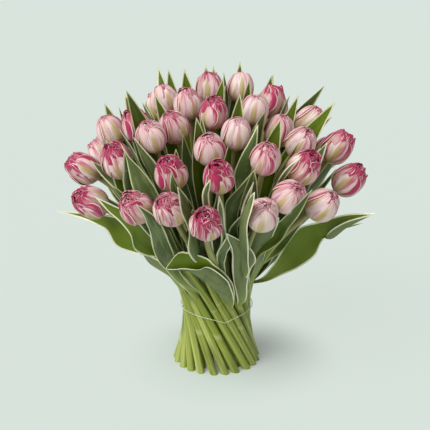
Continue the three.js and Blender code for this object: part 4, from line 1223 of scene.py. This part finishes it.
def outer_parts(flower, first):
    i = flower.index
    opened = flower.opened
    parts = []
    for n in range(OUTER_PETALS):
        chance = vary(i, 40 + n)
        shape = {**OUTER_SHAPE, "length": 0.94 - 0.05 * chance - opened * (0.03 + 0.12 * chance),
                 "over": 74 - 12 * opened - 5 * chance, "close": 0.99 - 0.20 * opened,
                 "span": 1.08 - 0.12 * chance, "flare": 0.02 * opened, "loose": 0.2 + 1.0 * chance,
                 "ruffle": 0.8 + 0.5 * opened, "crest": 0.7 + 0.6 * opened,
                 "twist": 0.16 * (chance - 0.5)}
        middle = first + n * 2 * math.pi / OUTER_PETALS + 0.25 * (vary(i, 43 + n) - 0.5)
        parts.append(petal_part(flower, middle, 40 + n, OUTER_ROWS, OUTER_COLUMNS, shape, 0.0))
    for n in range(OUTER_PETALS):
        chance = vary(i, 50 + n)
        shape = {**SECOND_SHAPE, "length": 0.95 - 0.05 * chance,
                 "over": 78 - 18 * opened * chance, "close": 1.0 - 0.2 * opened,
                 "flare": 0.02 * opened, "loose": 0.2 + 0.9 * chance,
                 "ruffle": 0.9 + 0.7 * opened, "crest": 0.8 + 0.8 * opened}
        middle = first + (n + 0.5) * 2 * math.pi / OUTER_PETALS + 0.3 * (vary(i, 53 + n) - 0.5)
        whorl = 0.3 + 0.4 * opened
        parts.append(petal_part(flower, middle, 50 + n, OUTER_ROWS, OUTER_COLUMNS, shape, whorl))
    return parts


# %% The ruffled heart
HEART_SHAPE = {"twist": 0.0, "lap": 1.0, "tuck": 0.2, "keel": 0.0, "waves": 6.0, "droop": 1.0,
               "close": 1.0, "blunt": 2.5, "flare": 0.0, "broad": 0.6}
HEART_RINGS = [
    {"count": 5, "inset": 0.88, "length": 0.98, "over": 60, "span": 0.86},
    {"count": 4, "inset": 0.74, "length": 0.97, "over": 74, "span": 1.10},
    {"count": 3, "inset": 0.56, "length": 0.95, "over": 86, "span": 1.40},
]


def heart_parts(flower, first):
    i = flower.index
    opened = flower.opened
    parts = []
    for number, ring in enumerate(HEART_RINGS):
        for n in range(ring["count"]):
            kind = 60 + 10 * number + n
            chance = vary(i, kind)
            stands = opened * vary(i, kind + 5)
            length = ring["length"] - 0.06 * chance - 0.04 * (1 - opened) + 0.04 * stands
            shape = {**HEART_SHAPE, **ring, "length": length,
                     "over": min(ring["over"] + (1 - opened) * 12 - 6 * chance - 8 * stands, 88),
                     "loose": 1.0 * chance * opened, "ruffle": 0.8 + 0.9 * opened,
                     "crest": 0.8 + 1.0 * opened, "twist": 0.35 * (chance - 0.3)}
            middle = first + (n + 0.5 * number + 0.5 * chance) * 2 * math.pi / ring["count"]
            parts.append(petal_part(flower, middle, kind, HEART_ROWS, HEART_COLUMNS, shape, 1.0))
    return parts


# %% Make the blooms
bloom_faces = 0
for flower in flowers:
    number = f"{flower.index + 1:02d}"
    turned = first_petal_angle(flower)
    petals = outer_parts(flower, turned) + heart_parts(flower, turned)
    head = make_piece(f"tulip_head_{number}", petals, [PETAL])
    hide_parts(f"bloom_{number}")
    bloom_faces += len(head.data.polygons)
print("blooms:", len(flowers), "with", bloom_faces, "faces in all")

# %% [markdown]
# ## Leaves
# The outside of a tulip leaf is a dull blue-green with a waxy bloom, and its inside a clear
# green, darker in random patches. Fine veins run along it, it fades to the stem's colour at its
# foot, and it has a cream margin a millimetre or two wide. Each leaf also has a painted light
# value: a leaf painted lit has a yellower inside, a paler bloom and a wider cream margin, and a
# leaf painted in shade a darker inside and a duller margin. The pattern knows how far it is from
# the edge in millimetres, so the margin keeps its width up to the tip.

# %% The leaf finish
LEAF_INSIDE = (0.125, 0.190, 0.004)
# The inside's dark green: random darker patches, and painted shade on leaves painted in shade.
LEAF_INSIDE_DARK_AND_SHADED = (0.040, 0.064, 0.005)
LEAF_OUTSIDE = (0.068, 0.100, 0.026)
LEAF_OUTSIDE_PALE = (0.175, 0.215, 0.085)
LEAF_VEIN = (0.18, 0.23, 0.05)
LEAF_MARGIN = (0.82, 0.81, 0.58)
# Painted shade on the margin: its colour on leaves painted in shade.
LEAF_MARGIN_SHADED = (0.50, 0.53, 0.26)
LEAF_FOOT = (0.30, 0.37, 0.08)


def leaf_finish():
    finish = Finish("leaf", {"Specular IOR Level": 0.28, "Subsurface Weight": 0.06,
                             "Subsurface Scale": 0.002})
    u, v, edge = finish.attribute("leaf_place")
    # The third value is the leaf's painted light: high where it is painted lit, low where painted in
    # shade.
    seed, outside, painted_light = finish.attribute("leaf_tint")
    veins = finish.noise(finish.point(v * 14.0, u * 1.5, seed * 29.0), detail=2.0)
    fine = finish.noise(finish.point(v * 46.0, u * 3.0, seed * 13.0), detail=1.0)
    cloud = finish.noise(finish.point(v * 1.5, u * 5.0, seed * 41.0), detail=3.0)
    # The inside runs from dark to clear green by a random cloud and by painted light: leaves painted
    # in shade are darker.
    clear_and_lit = (painted_light + (cloud - 0.5) * 1.4).clamped()
    inside = finish.blend(LEAF_INSIDE_DARK_AND_SHADED, LEAF_INSIDE, clear_and_lit)
    # The waxy bloom varies at random and is paler where the leaf is painted lit (painted light).
    bloom = finish.rise(0.38, 0.66, cloud + (painted_light - 0.55) * 0.35)
    waxy = finish.blend(LEAF_OUTSIDE, LEAF_OUTSIDE_PALE, bloom)
    colour = finish.blend(inside, waxy, outside)
    line = finish.rise(0.52, 0.68, veins) * 0.5 + finish.rise(0.05, 0.0, abs(v)) * 0.4
    colour = finish.blend(colour, LEAF_VEIN, line * 0.45)
    foot = finish.rise(0.40, 0.04, u + (veins - 0.5) * 0.2)
    colour = finish.blend(colour, LEAF_FOOT, foot * 0.85)
    # The margin varies at random and is wider on leaves painted lit.
    width = 1.15 + painted_light * 0.75 + (cloud - 0.5) * 1.8
    margin = finish.rise(1.25, 0.75, (edge + (veins - 0.5) * 0.8) / width)
    # Painted light on the margin: cream where the leaf is painted lit, duller where it is painted in
    # shade.
    margin_lit = finish.rise(0.2, 0.85, painted_light + (veins - 0.5) * 0.4)
    pale = finish.blend(LEAF_MARGIN_SHADED, LEAF_MARGIN, margin_lit)
    colour = finish.blend(colour, pale, margin * finish.rise(0.03, 0.16, u))
    finish.feed("Base Color", colour)
    finish.feed("Roughness", 0.36 + outside * 0.12 + cloud * 0.1)
    finish.bump(veins * 0.5 + fine * 0.35, 0.45, 0.0005)
    return finish.material


LEAF = leaf_finish()

# %% Smooth curves through the stations
def through(knots, values, places):
    """A smooth curve through values at uneven knots, read at many places."""
    knots = np.array(knots, dtype=float)
    values = np.array(values, dtype=float)
    if values.ndim == 1:
        return through(knots, values[:, None], places)[:, 0]
    slopes = np.gradient(values, knots, axis=0)
    i = np.clip(np.searchsorted(knots, places, side="right") - 1, 0, len(knots) - 2)
    gap = (knots[i + 1] - knots[i])[:, None]
    t = (np.array(places)[:, None] - knots[i][:, None]) / gap
    a = 2 * t**3 - 3 * t**2 + 1
    b = t**3 - 2 * t**2 + t
    c = -2 * t**3 + 3 * t**2
    d = t**3 - t**2
    return a * values[i] + b * gap * slopes[i] + c * values[i + 1] + d * gap * slopes[i + 1]


# %% Where a leaf's points are
LEAF_ROWS = 30
LEAF_COLUMNS = [0, 0.22, 0.45, 0.68, 0.86, 0.95, 1.0]
BLADE_THICKNESS = 0.9
EDGE_THICKNESS = 0.35
EDGE_TAPER = 6
TIP_HALF_WIDTH = 0.35
WAVE_HALF_WIDTH = 12
PETAL_CLEARANCE = 1.0
LEAF_SIDE = np.array(LEAF_COLUMNS)
LEAF_SIDES = np.concatenate([-LEAF_SIDE[:0:-1], LEAF_SIDE])


def push_out_of_blooms(grid):
    """Points inside any bloom move straight out of its cup."""
    for flower in flowers:
        away = grid - flower.base
        height = away @ flower.axis
        t = height / flower.size["length"]
        aside = away - height[..., None] * flower.axis
        distance = np.linalg.norm(aside, axis=-1)
        wanted = cup_radius(np.clip(t, 0, 1), flower) + PETAL_CLEARANCE
        inside = (t > 0) & (t < 1) & (distance < wanted)
        if inside.any():
            lift = np.where(inside, wanted - distance, 0.0)
            grid = grid + unit(aside) * lift[..., None]
    return grid


def running_sum(steps):
    """How far each column lies from the first, from the steps between them."""
    return np.concatenate([np.zeros((len(steps), 1)), np.cumsum(steps, axis=1)], axis=1)


def leaf_grid(flower, stations, leaf, kind):
    """The middle surface of a leaf, with its grid places and its distance from the edge."""
    u = crowded(LEAF_ROWS, 1.15)

    def curve(key):
        return through([station["u"] for station in stations],
                       [station[key] for station in stations], u)

    mid = curve("mid")[:, None]
    face = unit(curve("face"))[:, None]
    across = unit(curve("across"))[:, None]
    bend = np.radians(curve("fold"))[:, None] * (0.3 + 1.4 * LEAF_SIDE[None, :])
    bend = (bend[:, 1:] + bend[:, :-1]) / 2
    chance = vary(flower.index, kind)
    wave = (0.8 + 1.6 * chance) * np.sin(2 * math.pi * (2.0 + chance) * u + 6.3 * chance)
    wave = (wave * smooth(0.15, 0.4, u) * (1 - smooth(0.85, 1, u)))[:, None]
    sides = []
    for hand in (-1, 1):
        share = np.clip(curve(("share", hand)), 0.02, 1)
        half = np.maximum(leaf["width"] / 2 * leaf_taper(u) * share, TIP_HALF_WIDTH)[:, None]
        steps = np.diff(LEAF_SIDE)[None, :] * half
        out = running_sum(np.cos(bend) * steps)
        lift = hand * wave * LEAF_SIDE[None, :] ** 2 * np.minimum(half / WAVE_HALF_WIDTH, 1)
        lift = lift - running_sum(np.sin(bend) * steps)
        rows = mid + across * (hand * out)[..., None] + face * lift[..., None]
        sides.append((rows, half * (1 - LEAF_SIDE[None, :])))
    grid, edge = (np.concatenate([left[:, :0:-1], right], axis=1) for left, right in zip(*sides))
    v = LEAF_SIDES[None, :] * np.ones((len(u), 1))
    return push_out_of_blooms(grid), u[:, None] * np.ones_like(v), v, edge


def leaf_part(flower, stations, leaf, kind):
    grid, u, v, edge = leaf_grid(flower, stations, leaf, kind)
    # Painted light: leaves in the front row are painted lit, the others in shade by a random amount.
    painted_light = 0.8 if "allowed" in leaf else 0.2 + 0.5 * vary(flower.index, kind + 5)
    return blade_part(grid, u, v, edge, vary(flower.index, kind), painted_light, facing_in(grid, flower))


def blade_part(grid, u, v, edge, seed, painted_light, turned):
    """A blade as a sheet. Its tint says which of its two skins is the outside of the leaf, and how
    lit the leaf is painted.
    """
    thickness = EDGE_THICKNESS + (BLADE_THICKNESS - EDGE_THICKNESS) * smooth(0, EDGE_TAPER, edge)
    place = np.stack([u, v, edge], -1)
    tint = np.stack([np.full_like(u, seed), np.zeros_like(u), np.full_like(u, painted_light)], -1)
    part = sheet(grid, thickness, {"leaf_place": place, "leaf_tint": tint})
    skins = (0, 1) if turned else (1, 0)
    part["attributes"]["leaf_tint"][:, 1] = np.repeat(skins, u.size)
    return part


def facing_in(grid, flower):
    """Whether the grid's own normals look towards the stem that the leaf grows from."""
    row = LEAF_ROWS // 4
    column = grid.shape[1] // 2
    normal = grid_normals(grid)[row, column]
    nearest = flower.points[np.linalg.norm(flower.points - grid[row, column], axis=1).argmin()]
    return float(normal @ (grid[row, column] - nearest)) < 0


# %% Where a placed leaf's points are
PLACED_ROWS = 40
CLASP_HALF_WIDTH = 3.0
KEEL_DEPTH = 0.1
KEEL_CURVE = 1.7


def placed_sections(flower, leaf):
    """The left edges, middles and right edges of a placed leaf, from its clasp to its tip."""
    clasp = along(flower, leaf["start"])[0]
    corners = [[sight_point(*corner) for corner in station] for station in leaf["stations"]]
    tip = sight_point(*leaf["tip"])
    middles = [corner[2] if len(corner) > 2 else (corner[0] + corner[1]) / 2 for corner in corners]
    line = [clasp, *middles, tip]
    sections = []
    for i, (corner, middle) in enumerate(zip(corners, middles)):
        left, right = corner[:2]
        if len(corner) == 2:
            face = unit(np.cross(right - left, line[i + 2] - line[i]))
            middle = middle + face * KEEL_DEPTH * np.linalg.norm(right - left)
        sections.append((left, middle, right))
    left, middle, right = sections[0]
    wide = unit(right - left) * CLASP_HALF_WIDTH
    start = clasp + unit(middle - clasp) * CLASP_NEAR * STEM_RADIUS
    left, _, right = sections[-1]
    narrow = unit(right - left) * TIP_HALF_WIDTH
    return np.array([(start - wide, start, start + wide), *sections,
                     (tip - narrow, tip, tip + narrow)])


def placed_part(flower, leaf, kind):
    lefts, middles, rights = np.moveaxis(placed_sections(flower, leaf), 1, 0)
    steps = np.linalg.norm(np.diff(middles, axis=0), axis=1)
    knots = np.concatenate([[0], np.cumsum(steps)]) / steps.sum()
    rows = crowded(PLACED_ROWS, 1.1)
    left, middle, right = (through(knots, line, rows)[:, None] for line in (lefts, middles, rights))
    share = LEAF_SIDES[None, :, None]
    bent = ((right + left) / 2 - middle) * np.abs(share) ** KEEL_CURVE
    grid = middle + (right - left) / 2 * share + bent
    chance = vary(flower.index, kind)
    half = np.linalg.norm(right - left, axis=2) / 2
    u = rows[:, None] * np.ones(grid.shape[:2])
    v = share[..., 0] * np.ones_like(u)
    wave = np.sin(2 * math.pi * (3.0 + 2 * chance) * u + 6.3 * chance + 2 * v)
    wave = (0.5 + chance) * wave * smooth(0.2, 0.4, u) * (1 - smooth(0.85, 1, u)) * v**2
    wave = wave * np.minimum(half / WAVE_HALF_WIDTH, 1)
    grid = push_out_of_blooms(grid + grid_normals(grid) * wave[..., None])
    across = running_sum(np.linalg.norm(np.diff(grid, axis=1), axis=2))
    edge = np.minimum(across, across[:, -1:] - across)
    # The leaf's listed light value paints it lit or in shade.
    return blade_part(grid, u, v, edge, chance, leaf["painted_light"], False)


# %% [markdown]
# ## Stems
# A tulip stem is round, smooth and yellow-green, with faint streaks along it, and a little thinner
# at the neck. Each one is a tube along its track, and its foot is cut level, so that the
# bunch stands on its cut ends.

# %% The stem finish
STEM_GREEN = (0.215, 0.265, 0.030)
STEM_PALE = (0.40, 0.44, 0.12)
STEM_DARK = (0.085, 0.115, 0.014)
STEM_SCAR = (0.50, 0.52, 0.24)
NECK_BROWN = (0.33, 0.26, 0.14)
CUT_PALE = (0.62, 0.66, 0.36)


def stem_finish():
    finish = Finish("stem", {"Specular IOR Level": 0.35, "Subsurface Weight": 0.12,
                             "Subsurface Scale": 0.003})
    up, around, seed = finish.attribute("stem_place")
    streak = finish.noise(finish.point(around * 7.0, up * 2.0, seed * 37.0), detail=3.0)
    fine = finish.noise(finish.point(around * 24.0, up * 5.0, seed * 19.0), detail=2.0)
    cloud = finish.noise(finish.point(around * 1.0, up * 6.0, seed * 11.0), detail=2.0)
    pale = finish.rise(0.45, 0.60, streak) * 0.75 + (seed - 0.5) * 0.6
    pale = pale + finish.rise(0.3, 0.0, up) * 0.15
    colour = finish.blend(STEM_GREEN, STEM_PALE, pale.clamped())
    colour = finish.blend(colour, STEM_DARK, finish.rise(0.48, 0.70, cloud) * 0.6)
    scar = finish.rise(0.009, 0.003, abs(up - 0.02 - seed * 0.42 + (fine - 0.5) * 0.012))
    colour = finish.blend(colour, STEM_SCAR, scar * 0.4)
    colour = finish.blend(colour, NECK_BROWN, finish.rise(0.60, 0.95, up) * 0.6)
    finish.feed("Base Color", colour)
    finish.feed("Roughness", 0.34 + fine * 0.16)
    finish.bump(streak * 0.4 + fine * 0.3 + cloud * 0.6, 0.4, 0.0007)
    return finish.material


def cut_finish():
    finish = Finish("cut_end", {"Roughness": 0.5, "Subsurface Weight": 0.1,
                                "Subsurface Scale": 0.002})
    up, around, seed = finish.attribute("stem_place")
    grain = finish.noise(finish.point(around * 12.0, up * 40.0, seed * 9.0), detail=3.0)
    dark = finish.rise(0.45, 0.8, grain) * 0.6
    finish.feed("Base Color", finish.blend(CUT_PALE, STEM_GREEN, dark))
    finish.bump(grain, 0.4, 0.0004)
    return finish.material


STEM = stem_finish()
CUT_END = cut_finish()

# %% Where a stem's points are
STEM_SIDES = 18
STEM_RINGS = 30
FOOT_RINGS = 5
TURN_LENGTH = 30
STEM_NUMBER = 1
CUT_NUMBER = 2


def stem_parts(flower):
    """A stem's round side, its cut foot and its closed neck."""
    radial = polar(1, flower.waist_angle, 0)
    level = np.cross(UP, radial) / flower.rise[2]
    rings = []
    for part in np.linspace(0, 1, FOOT_RINGS, endpoint=False):
        rings.append((lerp(flower.foot, flower.waist, part), level, -radial, STEM_RADIUS))
    for length in np.linspace(0, flower.stem_length, STEM_RINGS):
        point, _, outward, side = along(flower, length)
        share = float(smooth(0, TURN_LENGTH, length))
        radius = lerp(STEM_RADIUS, NECK_RADIUS, length / flower.stem_length)
        front = unit(lerp(-radial, -outward, share))
        rings.append((point, lerp(level, side, share), front, radius))
    centres, rights, fronts, radii = (np.array(column) for column in zip(*rings))
    radii = radii[:, None, None]
    turn = np.linspace(0, 2 * math.pi, STEM_SIDES, endpoint=False)
    points = centres[:, None] + rights[:, None] * radii * np.cos(turn)[None, :, None]
    points = points + fronts[:, None] * radii * np.sin(turn)[None, :, None]
    up = np.linspace(0, 1, len(rings))[:, None] * np.ones((1, STEM_SIDES))
    around = np.abs(np.linspace(-1, 1, STEM_SIDES, endpoint=False))[None, :] * np.ones_like(up)
    seed = vary(flower.index, 80)
    place = np.stack([up, around, np.full_like(up, seed)], -1).reshape(-1, 3)
    index = np.arange(up.size).reshape(up.shape)
    beside = np.roll(index, -1, axis=1)
    faces = quads(index[:-1], beside[:-1], beside[1:], index[1:])
    side = {"points": points.reshape(-1, 3), "faces": faces,
            "attributes": {"stem_place": place}, "finish": STEM_NUMBER}
    return [side, disc_part(points[0][::-1], seed, CUT_NUMBER),
            disc_part(points[-1], seed, STEM_NUMBER)]


def disc_part(ring, seed, finish):
    """A flat cap on a ring, in rows of four-sided faces, with its own edge."""
    count = len(ring)
    i = np.arange(count // 2 - 1)
    place = np.stack([np.zeros(count), np.linspace(0, 1, count), np.full(count, seed)], -1)
    return {"points": ring, "faces": quads(i, i + 1, count - 2 - i, count - 1 - i),
            "attributes": {"stem_place": place}, "finish": finish}


# %% Make the leafy stems
def leafy_parts(flower):
    parts = stem_parts(flower)
    for n, (stations, leaf) in enumerate(flower.leaves):
        parts.append(leaf_part(flower, stations, leaf, 90 + n))
    for n, name in enumerate(flower.placed or ()):
        parts.append(placed_part(flower, PLACED_LEAVES[name], 110 + n))
    return parts


stem_faces = 0
for group, rings_of_group in (("rim_stems", [rim]), ("core_stems", [middle, centre])):
    for sector in range(SECTORS):
        members = [f for ring in rings_of_group for f in ring if f.sector == sector]
        parts = [part for flower in members for part in leafy_parts(flower)]
        piece = make_piece(f"leafy_{group}_{sector + 1}", parts, [LEAF, STEM, CUT_END])
        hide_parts(f"{group}_{sector + 1}")
        stem_faces += len(piece.data.polygons)
print("leafy stems:", stem_faces, "faces in all")

# %% [markdown]
# ## The tie
# One turn of thin clear cord holds the waist and dips between two stems at the front. It is a
# round tube round the same line as in the construction model, pale and nearly clear.

# %% The tie finish and its tube
TIE_RINGS = 144
TIE_SIDES = 8
CORD_GREEN = (0.74, 0.80, 0.60)
CORD_PALE = (0.90, 0.94, 0.80)


def tie_finish():
    finish = Finish("tie_cord", {"Roughness": 0.3, "Transmission Weight": 0.7, "IOR": 1.33})
    up, around, seed = finish.attribute("stem_place")
    cloud = finish.noise(finish.point(up * 6.0, around * 0.5, seed), detail=2.0)
    finish.feed("Base Color", finish.blend(CORD_GREEN, CORD_PALE, cloud))
    finish.bump(cloud, 0.1, 0.0003)
    return finish.material


def tie_part():
    angles = np.linspace(0, 2 * math.pi, TIE_RINGS, endpoint=False)
    from_dip = np.abs([wrap(angle - TIE_DIP_ANGLE) for angle in angles])
    heights = TIE_HEIGHT - TIE_DIP * np.exp(-from_dip / TIE_DIP_SPREAD)
    turn = np.linspace(0, 2 * math.pi, TIE_SIDES, endpoint=False)
    thick = TIE_THICKNESS / 2
    reach = TIE_RADIUS + thick + thick * np.cos(turn)[None, :]
    points = np.stack([reach * np.cos(angles)[:, None], reach * np.sin(angles)[:, None],
                       heights[:, None] + thick * np.sin(turn)[None, :]], -1).reshape(-1, 3)
    index = np.arange(TIE_RINGS * TIE_SIDES).reshape(TIE_RINGS, TIE_SIDES)
    ahead = np.roll(index, -1, axis=0)
    faces = quads(index, ahead, np.roll(ahead, -1, axis=1), np.roll(index, -1, axis=1))
    up = np.abs(np.linspace(-1, 1, TIE_RINGS, endpoint=False))[:, None] * np.ones((1, TIE_SIDES))
    place = np.stack([up, np.ones_like(up) * np.cos(turn), np.zeros_like(up)], -1)
    return {"points": points, "faces": faces, "finish": 0,
            "attributes": {"stem_place": place.reshape(-1, 3)}}


tie = make_piece("tie_cord_turn", [tie_part()], [tie_finish()])
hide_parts("tie")
print("tie:", len(tie.data.polygons), "faces")

# %% [markdown]
# ## Floor and light
# The photograph is lit softly from the upper left, on a pale grey-green sheet, with one
# soft shadow round the feet. A wide sun gives that shadow and the sky fills the rest. Away from
# the feet the floor glows instead, so that the shadow fades out as it does in the photograph.

# %% The floor
FLOOR_HALF = 6.0
FLOOR_NEAR = (0.45, 0.500, 0.468)
FLOOR_FAR = (0.045, 0.050, 0.047)
GLOW_NEAR = (0.126, 0.138, 0.136)
GLOW_FAR = (0.634, 0.704, 0.660)
SHADOW_FROM = 0.05
SHADOW_REACH = 0.155
SHADOW_SIDEWAYS = 0.015


def floor_finish():
    finish = Finish("floor", {"Roughness": 0.9, "Specular IOR Level": 0.05, "Emission Strength": 1.0})
    place = add_node(finish.tree, "ShaderNodeTexCoord", output=OBJECT_COORDINATES)
    x, y, _ = finish.split(place)
    aside = x - SHADOW_SIDEWAYS
    away = (aside * aside + y * y) ** 0.5
    cloud = finish.noise(place, scale=3.0, detail=2.0)
    far = finish.rise(SHADOW_FROM, SHADOW_REACH, away + (cloud - 0.5) * 0.02)
    finish.feed("Base Color", finish.blend(FLOOR_NEAR, FLOOR_FAR, far))
    finish.feed("Emission Color", finish.blend(GLOW_NEAR, GLOW_FAR, far))
    return finish.material


floor_mesh = bpy.data.meshes.new("floor")
corners = [(x * FLOOR_HALF, y * FLOOR_HALF, 0) for x, y in ((-1, -1), (1, -1), (1, 1), (-1, 1))]
floor_mesh.from_pydata(corners, [], [(0, 1, 2, 3)])
floor_mesh.materials.append(floor_finish())
floor = new_object("floor", floor_mesh)
print("floor:", FLOOR_HALF * 2, "m wide")

# %% Light
SKY_COLOUR = (0.97, 1.0, 0.98, 1.0)
SKY_STRENGTH = 0.55
SUN_STRENGTH = 3.1
SUN_WIDTH = math.radians(42)
SUN_LEAN = math.radians(44)
SUN_FROM_LEFT = math.radians(46)

world = bpy.data.worlds.new("studio")
world.use_nodes = True
sky = world.node_tree.nodes["Background"].inputs
sky["Color"].default_value = SKY_COLOUR
sky["Strength"].default_value = SKY_STRENGTH
bpy.context.scene.world = world

sun = bpy.data.lights.new("key", "SUN")
sun.energy = SUN_STRENGTH
sun.angle = SUN_WIDTH
key = new_object("key", sun)
key.rotation_euler = (SUN_LEAN, 0.0, -SUN_FROM_LEFT)
bpy.context.scene.view_settings.view_transform = "Standard"
print("light:", key.name, "and an even sky")
